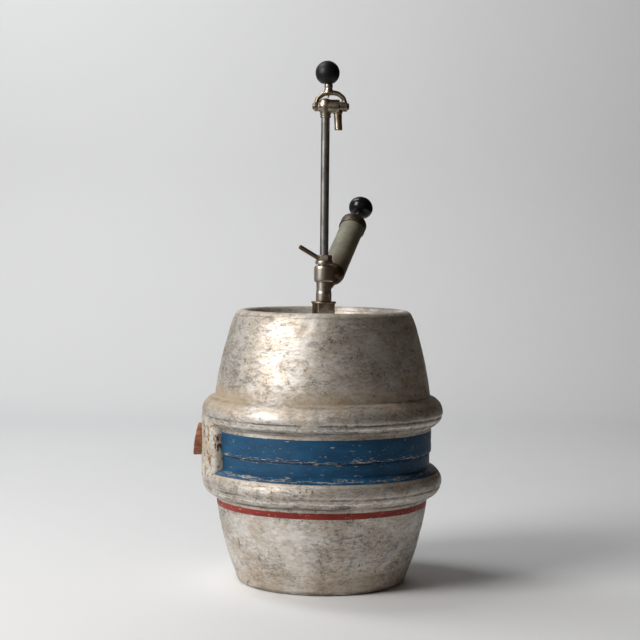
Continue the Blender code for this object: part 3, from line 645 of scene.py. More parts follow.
def keg_radius(z):
    """Outside radius of the keg at a height between its foot and its rim."""
    r = wall_radius(z)
    if z < SEAM_Z:
        half, sharp = (0.0240, 0.56) if z < LOWER_RING_Z else (0.0236, 0.50)
        share = ring_height(z, LOWER_RING_Z, half, sharp)
        r += (LOWER_RING_R - 0.0004 - r) * share
        return r - groove(z, 0.1565, 0.0016, 0.0011) - groove(z, 0.1412, 0.0020, 0.0006)
    half, sharp = (0.0216, 0.56) if z < UPPER_RING_Z else (0.0244, 0.62)
    share = ring_height(z, UPPER_RING_Z, half, sharp)
    r += (UPPER_RING_R - 0.0004 - r) * share
    return r - groove(z, 0.2682, 0.0019, 0.0014) - groove(z, 0.2566, 0.0018, 0.0011)


def dented(angle, r, z):
    """Small inward change of radius that an old drawn shell has."""
    place = Vector((math.cos(angle), math.sin(angle), z * 6.0))
    wave = noise.noise(place * 2.2) * 0.0009
    ding = max(0.0, noise.noise(place * 6.5 + Vector((4, 2, 7))) - 0.38) * 0.0022
    hammer = noise.noise(place * 17.0) * 0.00018
    on_crest = max(0.0, noise.noise(place * 15.0 + Vector((1, 9, 3))) - 0.15) * 0.0010
    crest = max(0.0, (r - 0.178) / 0.012)
    return -abs(wave) - ding + hammer - 0.0002 - on_crest * crest


def heights(start, end, step):
    """Evenly spaced heights, both ends included."""
    count = max(2, round(abs(end - start) / step))
    return [start + (end - start) * i / count for i in range(count + 1)]


KEG_STEPS = 288


def keg_shells(metal):
    """Both half shells, outside and inside, each one closed skin."""
    gap = (high("seam_weld").z - low("seam_weld").z) / 2 + 0.0001
    bottom = rounded([(0.0, 0.0132, 0), (0.0600, 0.0147, 0.010), (0.1040, 0.0190, 0.006),
                      (0.1118, 0.0145, 0.004), (0.1168, 0.0020, 0.004), (0.1200, 0.0, 0.002),
                      (0.1285, 0.0, 0.003), (0.1336, 0.0020, 0.003), (0.1366, 0.0078, 0.003),
                      (keg_radius(0.0130), 0.0130, 0)])
    outside = bottom + [(keg_radius(z), z) for z in heights(0.0160, SEAM_Z - gap - 0.001, 0.0018)]
    top = SEAM_Z - gap
    lip = [(LOWER_WALL_R - 0.0006, top), (LOWER_WALL_R - WALL, top)]
    inside = [(keg_radius(z) - WALL - 0.001, z) for z in heights(top - 0.006, 0.0300, 0.008)]
    inside += [(0.1336, 0.0110), (0.1283, 0.0045), (0.1207, 0.0045), (0.1150, 0.0182), (0.1045, 0.0226),
               (0.0600, 0.0180), (0.0, 0.0165)]

    def outer_only(angle, r, z):
        return dented(angle, r, z) if r > keg_radius(max(z, 0.016)) - 0.002 and z > 0.006 else 0.0

    lower = link("keg_lower_shell", turned(outside + lip + inside, KEG_STEPS, False, outer_only))

    start = SEAM_Z + gap
    body = [(UPPER_WALL_R - 0.0009, start), (UPPER_WALL_R - 0.0002, start + 0.0006)]
    body += [(keg_radius(z), z) for z in heights(start + 0.0015, 0.4180, 0.0018)]
    rim = rounded([(keg_radius(0.4195), 0.4195, 0), (0.1396, 0.4305, 0.008), (0.1342, 0.4340, 0.004),
                   (0.1285, RIM_TOP - 0.0002, 0.004), (0.1235, 0.4325, 0.004), (0.1190, 0.4250, 0.005),
                   (0.1166, 0.4110, 0.006), (0.1115, 0.4042, 0.005), (0.1040, 0.4018, 0.010),
                   (0.0600, 0.4036, 0.010), (0.0296, 0.4050, 0)], 5)
    under = [(0.0296, 0.4015), (0.1045, 0.3980), (0.1138, 0.4010), (0.1193, 0.4095), (0.1225, 0.4240),
             (0.1290, 0.4300), (0.1355, 0.4262), (0.1405, 0.4180)]
    under += [(keg_radius(z) - WALL - 0.001, z) for z in heights(0.4050, start + 0.004, 0.008)]
    under += [(UPPER_WALL_R - WALL, start)]

    def upper_only(angle, r, z):
        outer = r > keg_radius(min(z, 0.418)) - 0.002 and z < 0.4215
        return dented(angle, r, z) if outer else 0.0

    upper = link("keg_upper_shell", turned(body + rim + under, KEG_STEPS, True, upper_only))
    for shell in (lower, upper):
        boolean(shell, bung_cutter(0.0345, 0.1400, 0.2000), "DIFFERENCE")
    show(lower, "shell_lower", metal, 40)
    show(upper, "shell_upper", metal, 40)


def bung_cutter(radius, start, end):
    """Cylinder along the bung's axis, used up by a Boolean."""
    bm = cylinder(radius, start, end, 64)
    bm.transform(TO_BUNG)
    return link("cutter", bm)


def seam_bead(metal):
    """Uneven weld bead, a little below the upper shell's edge."""
    half = (high("seam_weld").z - low("seam_weld").z) / 2

    def lumps(angle, r, z):
        place = Vector((math.cos(angle) * 9, math.sin(angle) * 9, 0.5))
        if r < 0.169:
            return 0.0
        return 0.0007 * noise.noise(place * 3.0) - 0.0006 + 0.0003 * noise.noise(place * 9.0)

    profile = [(LOWER_WALL_R - WALL, SEAM_Z - half)]
    for i in range(7):
        angle = math.pi * i / 6 - math.pi / 2
        profile.append((LOWER_WALL_R + 0.0006 + 0.0011 * math.cos(angle), SEAM_Z + half * math.sin(angle)))
    profile.append((LOWER_WALL_R - WALL, SEAM_Z + half))
    bead = link("keg_seam_bead", turned(profile, KEG_STEPS, True, lumps))
    boolean(bead, bung_cutter(0.0345, 0.1400, 0.2000), "DIFFERENCE")
    show(bead, "seam_weld", metal, 60)


def bung_boss(material):
    """Pad cast between the rings: flush with their crests, round flanks, a bore and a neck."""
    half = math.radians(26.4)
    face_r = -low("bung_boss").x - 0.0002
    bottom, top = 0.1640, 0.2745
    columns, rows = 90, 100

    def outer(angle, z):
        t = abs(angle) / half
        edge = max(0.0, (t - 0.66) / 0.34)
        drop = 0.0118 * (1 - math.sqrt(max(0.0, 1 - min(1.0, edge) ** 2)))
        end = max(0.0, (abs(z - (bottom + top) / 2) / ((top - bottom) / 2) - 0.86) / 0.14)
        drop += 0.0030 * end ** 2
        rough = 0.0006 * noise.noise(Vector((angle * 30, z * 170, 1.0)))
        rough += 0.0004 * noise.noise(Vector((angle * 90, z * 480, 4.0)))
        return face_r - drop - 0.0004 + rough

    loops = []
    for i in range(columns + 1):
        share = -1 + 2 * i / columns
        angle = half * share
        loop = []
        for k in range(rows + 1):
            z = bottom + (top - bottom) * k / rows
            loop.append((outer(angle, z), z))
        for k in range(rows, -1, -5):
            z = bottom + (top - bottom) * k / rows
            loop.append((wall_radius(z) + 0.0002, z))
        around = math.pi + angle
        loops.append([(r * math.cos(around), r * math.sin(around), z) for r, z in loop])
    boss = link("bung_boss_casting", lofted(loops))
    neck = cylinder(0.0328, 0.1602, 0.1850, 64)
    neck.transform(TO_BUNG)
    boolean(boss, link("neck", neck), "UNION")
    bore = turned([(0, 0.1500), (0.0243, 0.1500), (0.0264, 0.1905), (0.0280, 0.1950), (0.0288, 0.2100),
                   (0, 0.2100)], 72, False)
    bore.transform(TO_BUNG)
    boolean(boss, link("bore", bore), "DIFFERENCE")
    show(boss, "bung_boss", material, 45)


def wooden_bung(material):
    """Tapered plug, sawn off at a slant and slightly hollow at the saw cut."""
    inner, outer = high("wooden_bung").x, low("wooden_bung").x
    steps = 72
    radius_out = (high("wooden_bung").z - low("wooden_bung").z) / 2 - 0.0005
    loops = []
    for share, radius in ((0.0, 0.90), (0.02, 0.935), (0.5, 0.965), (0.80, 0.985), (0.93, 0.995),
                          (0.985, 0.99), (1.0, 0.965), (1.0, 0.80), (1.0, 0.55), (1.0, 0.30), (1.0, 0.08)):
        loop = []
        for i in range(steps):
            angle = math.tau * i / steps
            y = radius_out * radius * math.cos(angle)
            z = radius_out * radius * math.sin(angle)
            lean = (z / radius_out + 1) / 2
            end = outer + 0.0072 * lean ** 1.35 + 0.0004 * noise.noise(Vector((y * 120, z * 120, 2.0)))
            end += 0.0004
            loop.append((inner + (end - inner) * share, y, BUNG_Z + z))
        loops.append(loop)
    show(link("wooden_bung_plug", lofted(loops)), "wooden_bung", material, 30)


def neck_bushing(material, rubber):
    """Welded bushing in the head and the gasket on it."""
    base, top = low("neck_bushing").z, high("neck_bushing").z
    wide = high("neck_bushing").x
    profile = rounded([(0.0166, base, 0), (wide - 0.0002, base, 0.0010), (wide - 0.0002, 0.4046, 0.0006),
                       (wide + 0.0052, 0.4056, 0.0014), (wide + 0.0030, 0.4074, 0.0016),
                       (wide - 0.0004, 0.4090, 0.0016), (wide - 0.0006, top - 0.0016, 0.0010),
                       (wide - 0.0028, top, 0.0010), (0.0166, top, 0)])
    bushing = link("head_bushing", turned(profile, 96))
    wear_shape(bushing, 0.0003, 260, 3)
    show(bushing, "neck_bushing", material)
    low_z, high_z = low("neck_gasket").z, high("neck_gasket").z
    washer = rounded([(0.0169, low_z, 0), (0.0250, low_z, 0.0006), (0.0250, high_z, 0.0006),
                      (0.0169, high_z, 0)])
    show(link("head_gasket", turned(washer, 72)), "neck_gasket", rubber)


# ---------------------------------------------------------------- tap
def tap_base(material):
    """Lip, wrench square with rounded corners, and stem."""
    lip_top = high("tap_base").z
    lip_r = high("tap_base").x
    side, corner, turn = 0.0150, 0.0036, math.radians(19)
    loops = []
    for z, grow in ((0.4170, -0.0008), (0.4176, -0.0001), (0.4184, 0.0), (0.4425, 0.0), (0.4448, 0.0)):
        loop = []
        for quarter in range(4):
            for k in range(7):
                angle = math.pi / 2 * (quarter + k / 6)
                x0 = (side - corner) * (1 if quarter in (0, 3) else -1)
                y0 = (side - corner) * (1 if quarter in (0, 1) else -1)
                x = x0 + (corner + grow) * math.cos(angle)
                y = y0 + (corner + grow) * math.sin(angle)
                loop.append((x * math.cos(turn) - y * math.sin(turn),
                             x * math.sin(turn) + y * math.cos(turn), z))
        loops.append(loop)
    square = link("tap_foot", lofted(loops))
    lip = rounded([(0, 0.4434, 0), (0.0150, 0.4434, 0), (0.0168, 0.4441, 0.0010),
                   (lip_r - 0.0006, 0.4446, 0.0008), (lip_r, 0.4458, 0.0008),
                   (lip_r - 0.0001, lip_top - 0.0004, 0.0009), (lip_r - 0.0016, lip_top, 0.0008),
                   (0, lip_top - 0.0002, 0)])
    boolean(square, link("lip", turned(lip, 96, False)), "UNION")
    stem = rounded([(0, low("tap_base").z, 0), (0.0157, low("tap_base").z, 0.0010), (0.0157, 0.4180, 0),
                    (0, 0.4180, 0)])
    boolean(square, link("stem", turned(stem, 72, False)), "UNION")
    bore = cylinder(0.0085, 0.3700, 0.4700, 48)
    boolean(square, link("bore", bore), "DIFFERENCE")
    show(square, "tap_base", material, 32)


def tap_body(material):
    """Casting with its branch for the pump, hollows rounded."""
    bottom = 0.4482
    top = high("tap_body").z
    trunk = rounded([(0, bottom, 0), (0.0118, bottom, 0), (0.0124, bottom + 0.0010, 0.0008),
                     (0.0125, 0.4615, 0.001), (0.0119, 0.4640, 0.001), (0.0118, top, 0), (0, top, 0)])
    body = link("tap_casting", turned(trunk, 64, False))
    branch = rounded([(0, 0.0035, 0), (0.0074, 0.0035, 0.001), (0.0083, 0.0262, 0.004),
                      (0.0110, 0.0345, 0.004), (0.0110, 0.0438, 0.0012), (0, 0.0438, 0)])
    bm = turned(branch, 64, False)
    bm.transform(TO_PUMP)
    boolean(body, link("branch", bm), "UNION")
    cast_together(body, 0.0006, 8)
    bore = turned([(0, 0.4300), (0.0080, 0.4300), (0.0080, 0.4858), (0.0103, 0.4858), (0.0103, 0.5200),
                   (0, 0.5200)], 48, False)
    boolean(body, link("bore", bore), "DIFFERENCE")
    air = turned([(0, 0.004), (0.0030, 0.004), (0.0030, 0.0360), (0.0051, 0.0360), (0.0051, 0.0390),
                  (0.0062, 0.0390), (0.0062, 0.0480), (0, 0.0480)], 32, False)
    air.transform(TO_PUMP)
    boolean(body, link("air", air), "DIFFERENCE")
    show(body, "tap_body", material, 50)


def union_sleeve(material):
    """Bright collar with rolled edges and a fine line near each end."""
    base, top = low("union_sleeve").z, high("union_sleeve").z
    r = high("union_sleeve").x
    outline = [(0.0124, base, 0), (r - 0.0022, base, 0.0006), (r - 0.0006, base + 0.0012, 0.0010),
               (r - 0.0002, base + 0.0030, 0.0010), (r, base + 0.0042, 0.0008), (r, top - 0.0042, 0.0008),
               (r - 0.0003, top - 0.0026, 0.0008), (r - 0.0010, top - 0.0010, 0.0008),
               (r - 0.0026, top, 0.0006), (0.0124, top, 0)]
    show(link("tap_sleeve", turned(rounded(outline), 96)), "union_sleeve", material)


def gland(material, dark):
    """Gland nut: round flange, six-sided top, and a ribbed bar screwed into its side."""
    base, shoulder, top = 0.5070, 0.5134, high("gland_nut").z
    bore, flange_r = 0.0071, high("gland_nut").x
    flange = rounded([(bore, low("gland_nut").z, 0), (0.0097, low("gland_nut").z, 0), (0.0097, base, 0),
                      (flange_r - 0.0004, base, 0.0005), (flange_r, base + 0.0010, 0.0006),
                      (flange_r, shoulder - 0.0012, 0.0006), (flange_r - 0.0010, shoulder, 0.0008),
                      (bore, shoulder, 0)])
    nut = link("gland_nut_top", turned(flange, 96))
    turn = math.radians(-1)
    outline = []
    for z, size in ((shoulder - 0.001, 1.0), (top - 0.0014, 1.0), (top - 0.0004, 0.965), (top, 0.93)):
        loop = []
        for i in range(72):
            angle = math.tau * i / 72
            inside = (angle - turn) % (math.pi / 3) - math.pi / 6
            flat = 0.0113 / math.cos(inside)
            radius = min(flat, 0.0128) * size
            loop.append((radius * math.cos(angle), radius * math.sin(angle), z))
        outline.append(loop)
    boolean(nut, link("hexagon", lofted(outline)), "UNION")
    cutter = cylinder(bore, 0.4900, 0.5300, 48)
    boolean(nut, link("bore", cutter), "DIFFERENCE")
    show(nut, "gland_nut", material, 30)

    tip, root = Vector((-0.0387, -0.0200, 0.5350)), Vector((-0.0082, -0.0040, 0.5166))
    length = (tip - root).length
    pitch, steps, per_turn = 0.00135, 24, 12
    count = round(length / pitch * per_turn)
    loops = []
    for i in range(count + 1):
        s = length * i / count
        loop = []
        for k in range(steps):
            angle = math.tau * k / steps
            phase = (s / pitch - k / steps) % 1.0
            ridge = abs(2 * phase - 1)
            fade = min(1.0, (length - s) / 0.0016)
            radius = 0.00345 + 0.00030 * ridge * fade - 0.0004 * (1 - min(1.0, (length - s) / 0.0007))
            loop.append((radius * math.cos(angle), radius * math.sin(angle), s))
        loops.append(loop)
    bar = lofted(loops)
    bar.transform(Matrix.Translation(root) @ (tip - root).to_track_quat("Z", "Y").to_matrix().to_4x4())
    show(link("gland_bar", bar), "gland_lever", dark, 28)


def beer_rod(steel, brass, plate):
    """Long tube, its foot and its collar."""
    base, top, r = low("beer_rod").z, high("beer_rod").z, high("beer_rod").x
    outline = [(0.0045, base, 0), (r - 0.0002, base, 0.0004), (r - 0.0001, base + 0.001, 0)]
    outline += [(r - 0.0001, z, 0) for z in heights(base + 0.01, top - 0.01, 0.008)]
    outline += [(r - 0.0001, top - 0.001, 0), (r - 0.0002, top, 0.0004), (0.0045, top, 0)]

    def worn(angle, radius, z):
        place = Vector((math.cos(angle), math.sin(angle), z * 30))
        return 0.00002 * noise.noise(place) if radius > 0.005 else 0.0

    show(link("beer_tube", turned(rounded(outline), 48, True, worn)), "beer_rod", steel)
    foot_z, foot_top = low("rod_foot").z, high("rod_foot").z
    foot = rounded([(0.0046, foot_z, 0), (0.0070, foot_z, 0.0006), (0.0084, foot_z + 0.0018, 0.0010),
                    (0.0084, foot_top - 0.0010, 0.0006), (0.0080, foot_top, 0.0003), (0.0072, foot_top, 0),
                    (0.0072, base - 0.0002, 0), (0.0046, base - 0.0002, 0)])
    strainer = link("rod_strainer", turned(foot, 64))
    for i in range(2):
        slot = slab(0.02, 0.0011, foot_z - 0.001, foot_z + 0.0070)
        slot.transform(Matrix.Rotation(i * math.pi / 2, 4, "Z"))
        boolean(strainer, link("slot", slot), "DIFFERENCE")
    show(strainer, "rod_foot", brass)
    ring_z, ring_top, wide = low("rod_collar").z, high("rod_collar").z, high("rod_collar").x
    collar = rounded([(r + 0.0002, ring_z, 0), (wide - 0.0004, ring_z, 0.0004),
                      (wide, ring_z + 0.0007, 0.0004), (wide, ring_top - 0.0007, 0.0004),
                      (wide - 0.0005, ring_top, 0.0004), (r + 0.0002, ring_top, 0)])
    show(link("rod_ring", turned(collar, 72)), "rod_collar", plate)


# ---------------------------------------------------------------- faucet
TO_BARREL = Matrix.Translation((0, 0, PIVOT.z)) @ Matrix.Rotation(math.radians(90), 4, "Y")


def faucet_body(material):
    """Rounded hub with the valve barrel across it, cast in one."""
    base, top = low("faucet_body").z, high("faucet_body").z
    hub = smooth_run([(0.0082, base + 0.0006), (0.0087, 0.7485), (0.0102, 0.7535), (0.0112, 0.7586),
                      (0.0109, 0.7635), (0.0095, 0.7678), (0.0066, 0.7700), (0.0030, top - 0.0001)], 4)
    hub = [(0, base), (0.0078, base)] + hub + [(0, top)]
    body = link("faucet_casting", turned(hub, 64, False))
    left, right = low("faucet_body").x, high("faucet_body").x
    barrel = rounded([(0, -0.0040, 0), (0.0108, -0.0040, 0), (0.0111, right - 0.0012, 0.0006),
                      (0.0100, right, 0.0006), (0, right, 0)])
    bm = turned(barrel, 64, False)
    bm.transform(TO_BARREL)
    boolean(body, link("barrel", bm), "UNION")
    face = turned(rounded([(0, left, 0), (0.0080, left, 0.0005), (0.0086, left + 0.0010, 0.0005),
                           (0.0086, -0.002, 0), (0, -0.002, 0)]), 64, False)
    face.transform(TO_BARREL)
    boolean(body, link("face", face), "UNION")
    boss = turned(rounded([(0, 0.7465, 0), (0.0069, 0.7465, 0.0005), (0.0073, 0.7475, 0.001),
                           (0.0078, 0.7520, 0), (0, 0.7520, 0)]), 48, False)
    boss.transform(Matrix.Translation((middle("spout").x, 0, 0)))
    boolean(body, link("boss", boss), "UNION")
    cast_together(body, 0.00042, 5)
    width = 0.0006
    for x in (0.0128, 0.0150, 0.0172, 0.0194):
        cut = turned([(0.0108, x - width), (0.0130, x - 2 * width), (0.0130, x + 2 * width),
                      (0.0108, x + width)], 64)
        cut.transform(TO_BARREL)
        corners = ((x - 0.002, PIVOT.z + 0.001), (x + 0.002, PIVOT.z + 0.001),
                   (x + 0.002, PIVOT.z + 0.02), (x - 0.002, PIVOT.z + 0.02))
        half = lofted([[(p, y, q) for p, q in corners] for y in (-0.02, 0.02)])
        tool = boolean(link("groove", cut), link("half", half), "INTERSECT")
        boolean(body, tool, "DIFFERENCE")
    bore = cylinder(0.0070, -0.0200, 0.0300, 48)
    bore.transform(TO_BARREL)
    boolean(body, link("bore", bore), "DIFFERENCE")
    socket = turned([(0, 0.7400), (0.0071, 0.7400), (0.0071, 0.7503), (0.0035, 0.7503), (0.0035, 0.7560),
                     (0, 0.7560)], 48, False)
    boolean(body, link("socket", socket), "DIFFERENCE")
    seat = turned([(0, 0.7300), (0.0065, 0.7300), (0.0065, 0.7505), (0.0032, 0.7505), (0.0032, 0.7560),
                   (0, 0.7560)], 48, False)
    seat.transform(Matrix.Translation((middle("spout").x, 0, 0)))
    boolean(body, link("seat", seat), "DIFFERENCE")
    show(body, "faucet_body", material, 40)


SPOUT_LEAN = 0.055


def spout(material):
    """Pouring tube with a thin lip."""
    x, base, top = middle("spout").x, low("spout").z, high("spout").z
    r = (high("spout").x - low("spout").x) / 2
    outline = [(0.0041, base + 0.0010, 0), (0.0046, base, 0.0003), (r - 0.0004, base, 0.0003),
               (r - 0.0001, base + 0.0007, 0.0004), (r - 0.0003, base + 0.012, 0.004),
               (r, top - 0.008, 0.004), (r, top, 0), (0.0041, top, 0)]
    bm = turned(rounded(outline), 64)
    for vertex in bm.verts:
        vertex.co.x += x + SPOUT_LEAN * max(0.0, top - 0.004 - vertex.co.z)
    show(link("pouring_spout", bm), "spout", material)


def yoke(material):
    """Cast handle fork: two curved arms, their bosses, the neck and the short finger."""
    left, right = low("yoke").x, high("yoke").x
    inner_left, inner_right = low("faucet_body").x - 0.0003, high("faucet_body").x + 0.0003
    z0 = PIVOT.z
    crown = Vector((0.0048, 0, z0 + 0.0214))
    left_arm = [(left + 0.0036, 0, z0), (left + 0.0034, 0, z0 + 0.0060), (left + 0.0052, 0, z0 + 0.0115),
                (left + 0.0100, 0, z0 + 0.0165), (left + 0.0165, 0, z0 + 0.0205), (crown.x, 0, crown.z)]
    right_arm = [(right - 0.0044, 0, z0), (right - 0.0040, 0, z0 + 0.0060),
                 (right - 0.0056, 0, z0 + 0.0120), (right - 0.0104, 0, z0 + 0.0172),
                 (right - 0.0180, 0, z0 + 0.0210), (crown.x, 0, crown.z)]

    def arm_size(t):
        return 0.0031 + 0.0011 * t, 0.0052 - 0.0006 * t

    fork = link("handle_fork", swept(smooth_run(left_arm, 8), arm_size))
    boolean(fork, link("arm", swept(smooth_run(right_arm, 8), arm_size)), "UNION")
    for a, b, r in ((left, inner_left, 0.0080), (inner_right, right, 0.0082)):
        outline = rounded([(0, a, 0), (r - 0.0002, a, 0.0010), (r, a + 0.0015, 0.0008), (r, b, 0),
                           (0, b, 0)])
        boss = turned(outline, 48, False)
        boss.transform(TO_BARREL)
        boolean(fork, link("boss", boss), "UNION")
    top = high("yoke").z
    neck = rounded([(0, crown.z - 0.0020, 0), (0.0088, crown.z - 0.0010, 0.0030),
                    (0.0068, crown.z + 0.0046, 0.0020), (0.0060, crown.z + 0.0074, 0.0010),
                    (0.0066, crown.z + 0.0092, 0.0010), (0.0067, top - 0.0010, 0.0008),
                    (0.0058, top, 0.0004), (0, top, 0)])
    bm = turned(neck, 48, False)
    bm.transform(Matrix.Translation((crown.x - 0.0004, 0, 0)))
    boolean(fork, link("neck", bm), "UNION")
    finger = [(crown.x - 0.0004, 0, crown.z), (crown.x - 0.0008, 0, z0 + 0.0180), (0.0034, 0, z0 + 0.0140)]
    tongue = swept(smooth_run(finger, 6), lambda t: (0.0022 - 0.0005 * t, 0.0026 - 0.0006 * t))
    boolean(fork, link("finger", tongue), "UNION")
    cast_together(fork, 0.00045, 4)
    for a, b in ((left, inner_left), (inner_right, right)):
        hole = cylinder(0.0028, a - 0.002, b + 0.002, 32)
        hole.transform(TO_BARREL)
        boolean(fork, link("hole", hole), "DIFFERENCE")
    show(fork, "yoke", material, 50)


def yoke_screws(bright, dark):
    """Slotted cheese-head screws through the bosses; the right one, turned away from the window light, gets
    dark brass as painted shade.
    """
    # The left screw gets the lighter nickel; the right one gets dark brass as painted shade.
    for node, out, material in (("yoke_screw_left", -1, bright), ("yoke_screw_right", 1, dark)):
        face = low("yoke").x if out < 0 else high("yoke").x
        tip = high(node).x if out < 0 else low(node).x
        length = abs(tip - face)
        head = abs((low(node).x if out < 0 else high(node).x) - face)
        profile = rounded([(0, -length, 0), (0.0022, -length, 0.0004), (0.0025, -length + 0.0006, 0),
                           (0.0025, 0.0002, 0), (0.0055, 0.0002, 0.0003), (0.0057, 0.0010, 0.0004),
                           (0.0055, head * 0.60, 0.0008), (0.0038, head * 0.92, 0.0010), (0, head, 0)])
        bm = turned(profile, 64, False)
        turn = Matrix.Rotation(math.radians(90 * out), 4, "Y")
        bm.transform(Matrix.Translation((face, 0, PIVOT.z)) @ turn)
        screw = link(node + "_head", bm)
        slot = slab(0.0070, 0.0006, head * 0.45, head + 0.002)
        slot.transform(Matrix.Translation((face, 0, PIVOT.z)) @ turn @ Matrix.Rotation(0.5, 4, "Z"))
        boolean(screw, link("slot", slot), "DIFFERENCE")
        show(screw, node, material, 32)


def ball_knob(material):
    """Moulded ball with a flat at the neck and a faint parting line."""
    centre = middle("ball_knob")
    r = (high("ball_knob").x - low("ball_knob").x) / 2
    centre.z = high("ball_knob").z - r
    flat = low("ball_knob").z - centre.z
    start = math.asin(flat / r)
    points = [(0, flat), (r * math.cos(start) - 0.0006, flat)]
    for i in range(57):
        angle = start + 0.04 + (math.pi / 2 - start - 0.04) * i / 56
        line = 0.00008 * math.exp(-(angle / 0.018) ** 2)
        points.append((max(0.0, (r - line) * math.cos(angle)), r * math.sin(angle)))
    points[-1] = (0.0, r)
    bm = turned(points, 96, False)
    bm.transform(Matrix.Translation(centre))
    show(link("handle_ball", bm), "ball_knob", material)


# ---------------------------------------------------------------- pump
def on_pump(bm):
    """Move a solid built along +Z to the pump's axis."""
    bm.transform(TO_PUMP)
    return bm


def pump_barrel(brass, paint, cap_brass):
    """Domed foot, painted tube and the wider cap."""
    foot = rounded([(0.0029, 0.0444, 0), (0.0108, 0.0444, 0.0008), (0.0124, 0.0451, 0.0010),
                    (0.0147, 0.0466, 0.0018), (0.0177, 0.0509, 0.0040), (0.0195, 0.0562, 0.0050),
                    (0.0202, 0.0613, 0.0016), (0.0202, 0.0626, 0.0005), (0.0196, 0.0636, 0.0004),
                    (0.0178, 0.0636, 0), (0.0178, 0.0724, 0), (0.0156, 0.0724, 0), (0.0156, 0.0612, 0),
                    (0.0029, 0.0612, 0)])
    show(link("pump_foot", on_pump(turned(foot, 96))), "pump_base", brass)

    def uneven(angle, r, z):
        if r < 0.019:
            return 0.0
        place = Vector((math.cos(angle) * 1.5, math.sin(angle) * 1.5, z * 40))
        return -0.00025 * abs(noise.noise(place)) - 0.00005

    outline = [(0.0183, 0.0641, 0), (0.0196, 0.0641, 0.0004), (0.0200, 0.0650, 0.0005)]
    outline += [(0.0200, z, 0) for z in heights(0.0690, 0.1820, 0.004)]
    outline += [(0.0200, 0.1870, 0.0005), (0.0196, 0.1879, 0.0004), (0.0183, 0.1879, 0)]
    show(link("pump_cylinder", on_pump(turned(rounded(outline), 96, True, uneven))), "pump_tube", paint)

    r = 0.0222
    cap = [(0.0204, 0.1772, 0), (r - 0.0012, 0.1772, 0.0006), (r, 0.1782, 0.0006), (r, 0.1818, 0.0004),
           (r - 0.0006, 0.1823, 0.0003), (r - 0.0006, 0.1831, 0.0003), (r, 0.1836, 0.0004),
           (r, 0.1934, 0.0014), (r - 0.0016, 0.1958, 0.0016), (r - 0.0048, 0.1968, 0.0020),
           (0.0096, 0.1975, 0.0014), (0.0078, 0.1986, 0.0010), (0.0074, 0.2006, 0.0008),
           (0.0066, 0.2012, 0.0004), (0.0038, 0.2012, 0), (0.0038, 0.1884, 0), (0.0204, 0.1884, 0)]
    show(link("pump_lid", on_pump(turned(rounded(cap), 96))), "pump_cap", cap_brass)


def plunger(steel, black):
    """Plunger rod and the squat black knob with its neck ring."""
    outline = [(0, 0.0781, 0), (0.0028, 0.0781, 0.0004), (0.0032, 0.0788, 0.0003)]
    outline += [(0.0032, z, 0) for z in heights(0.0850, 0.2200, 0.006)]
    outline += [(0.0032, 0.2284, 0.0004), (0, 0.2284, 0)]
    show(link("pump_rod", on_pump(turned(rounded(outline), 40, False))), "plunger_rod", steel)
    centre, r, half = 0.2388, 0.0206, 0.0171
    flat = -0.0156
    points = [(0.0035, centre + flat), (r * math.sqrt(1 - (flat / half) ** 2) - 0.0004, centre + flat)]
    start = math.asin(flat / half) + 0.05
    for i in range(49):
        angle = start + (math.pi / 2 - start) * i / 48
        points.append((max(0.0, r * math.cos(angle)), centre + half * math.sin(angle)))
    points[-1] = (0.0, centre + half)
    bm = turned([(0, 0.2289), (0.0035, 0.2289)] + points, 96, False)
    show(link("plunger_knob", on_pump(bm)), "pump_knob", black)


# ---------------------------------------------------------------- hidden pieces keep their CAD shape
def inner_pieces(looks):
    """Better surfaces on the CAD nodes that stay."""
    for node, material in looks.items():
        for slot in frame["nodes"][node].material_slots:
            slot.material = material


# ---------------------------------------------------------------- stage, lights and camera
def stage():
    """Pale floor that curves up into a pale wall."""
    points = [(-0.75, 0.0), (2.2, 0.0)]
    angles = [math.pi / 2 * i / 16 for i in range(1, 17)]
    points += [(2.2 + 0.8 * math.sin(a), 0.8 - 0.8 * math.cos(a)) for a in angles]
    points.append((3.0, 4.0))
    bm = bmesh.new()
    rows = [[bm.verts.new((x, y, z)) for x in (-1.3, 1.2)] for y, z in points]
    for a, b in zip(rows, rows[1:]):
        bm.faces.new((a[0], a[1], b[1], b[0]))
    sweep = link("studio_sweep", bm)
    g = Graph("studio_paper")
    cloud = g.noise(1.6, 3.0, 0.5)
    sweep.data.materials.append(g.finish(g.mix(cloud, (0.785, 0.79, 0.80), (0.815, 0.82, 0.83)), 0.0, 0.75))


def soft_light(name, place, target, size, power, colour):
    """Rectangular softbox aimed at a point."""
    data = bpy.data.lights.new(name, "AREA")
    data.shape = "RECTANGLE"
    data.size, data.size_y = size
    data.energy = power
    data.color = colour
    lamp = bpy.data.objects.new(name, data)
    bpy.context.scene.collection.objects.link(lamp)
    lamp.location = place
    lamp.rotation_euler = (Vector(target) - Vector(place)).to_track_quat("-Z", "Y").to_euler()


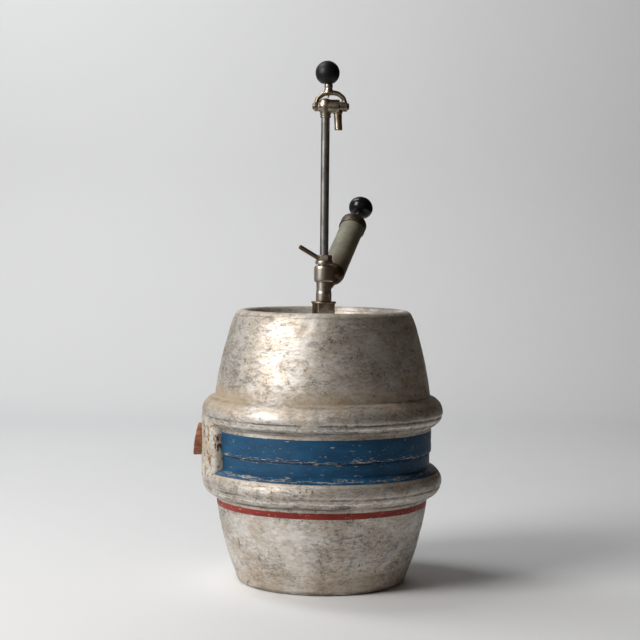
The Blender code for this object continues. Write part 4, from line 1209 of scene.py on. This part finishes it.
def lights():
    """Large window light from the left and above, and a room that is dark and brown on the right."""
    soft_light("window", (-2.1, -1.45, 1.75), (0.0, 0.0, 0.42), (1.3, 1.7), 80.0, (1.0, 0.98, 0.95))
    soft_light("front_fill", (0.3, -3.4, 1.6), (0.0, 0.0, 0.4), (1.6, 1.2), 1.5, (1.0, 0.90, 0.80))
    soft_light("wall_wash", (-1.6, 0.9, 3.0), (0.2, 2.8, 0.9), (2.4, 1.2), 58.0, (0.975, 0.99, 1.0))
    world = bpy.data.worlds.new("room")
    world.use_nodes = True
    tree = world.node_tree
    direction = tree.nodes.new("ShaderNodeTexCoord").outputs["Generated"]
    parts = tree.nodes.new("ShaderNodeSeparateXYZ")
    share = tree.nodes.new("ShaderNodeMapRange")
    share.interpolation_type = "SMOOTHSTEP"
    share.inputs["From Min"].default_value = -0.8
    share.inputs["From Max"].default_value = 0.35
    mix = tree.nodes.new("ShaderNodeMix")
    mix.data_type = "RGBA"
    mix.inputs[6].default_value = (0.24, 0.245, 0.25, 1.0)
    mix.inputs[7].default_value = (0.034, 0.024, 0.017, 1.0)
    tree.links.new(direction, parts.inputs[0])
    tree.links.new(parts.outputs[0], share.inputs["Value"])
    tree.links.new(share.outputs[0], mix.inputs[0])
    tree.links.new(mix.outputs[2], tree.nodes["Background"].inputs["Color"])
    bpy.context.scene.world = world


def camera():
    """Level with the upper part of the keg, looking slightly down."""
    data = bpy.data.cameras.new("camera")
    data.lens = 90.4
    data.sensor_width = 36.0
    eye = bpy.data.objects.new("camera", data)
    bpy.context.scene.collection.objects.link(eye)
    eye.location = Vector((-0.0069, -2.573, 0.551)) + AXIS
    eye.rotation_euler = (math.radians(90 - 2.96), math.radians(-0.58), 0.0)
    bpy.context.scene.camera = eye
    bpy.context.scene.view_settings.view_transform = "Standard"


def main():
    metal = keg_metal()
    boss_metal = cast_boss()
    plate = nickel()
    bright_plate = nickel("bright_nickel", 0.25)
    yellow_plate = nickel("yellow_nickel", 0.75, 0.8)
    aged_plate = nickel("aged_nickel", 1.0, 0.4)
    dark_plate = nickel("dark_nickel", 1.4, 0.6)
    brass = dark_brass()
    cap_brass = dark_brass("cap_brass", 0.75)
    steel = rod_steel()
    rubber = soft_black()
    matte_black = black_moulding("ball_black", 0.40, 0.50, 0.0030)
    gloss_black = black_moulding("knob_black", 0.13, 0.22, 0.0040)

    keg_shells(metal)
    seam_bead(metal)
    bung_boss(boss_metal)
    wooden_bung(bung_wood())
    neck_bushing(boss_metal, rubber)
    tap_base(aged_plate)
    tap_body(plate)
    union_sleeve(bright_plate)
    gland(plate, dark_plate)
    beer_rod(steel, brass, yellow_plate)
    faucet_body(yellow_plate)
    spout(yellow_plate)
    yoke(yellow_plate)
    # The right screw's dark brass is painted shade.
    yoke_screws(plate, brass)
    ball_knob(matte_black)
    pump_barrel(brass, pump_paint(), cap_brass)
    plunger(steel, gloss_black)
    inner_pieces({"rod_packing": rubber, "gland_washer": brass, "valve_plug": brass, "valve_disc": rubber,
                  "cup_leather": oiled_leather(), "piston_plate": brass, "piston_nut": brass})
    stage()
    lights()
    camera()


main()
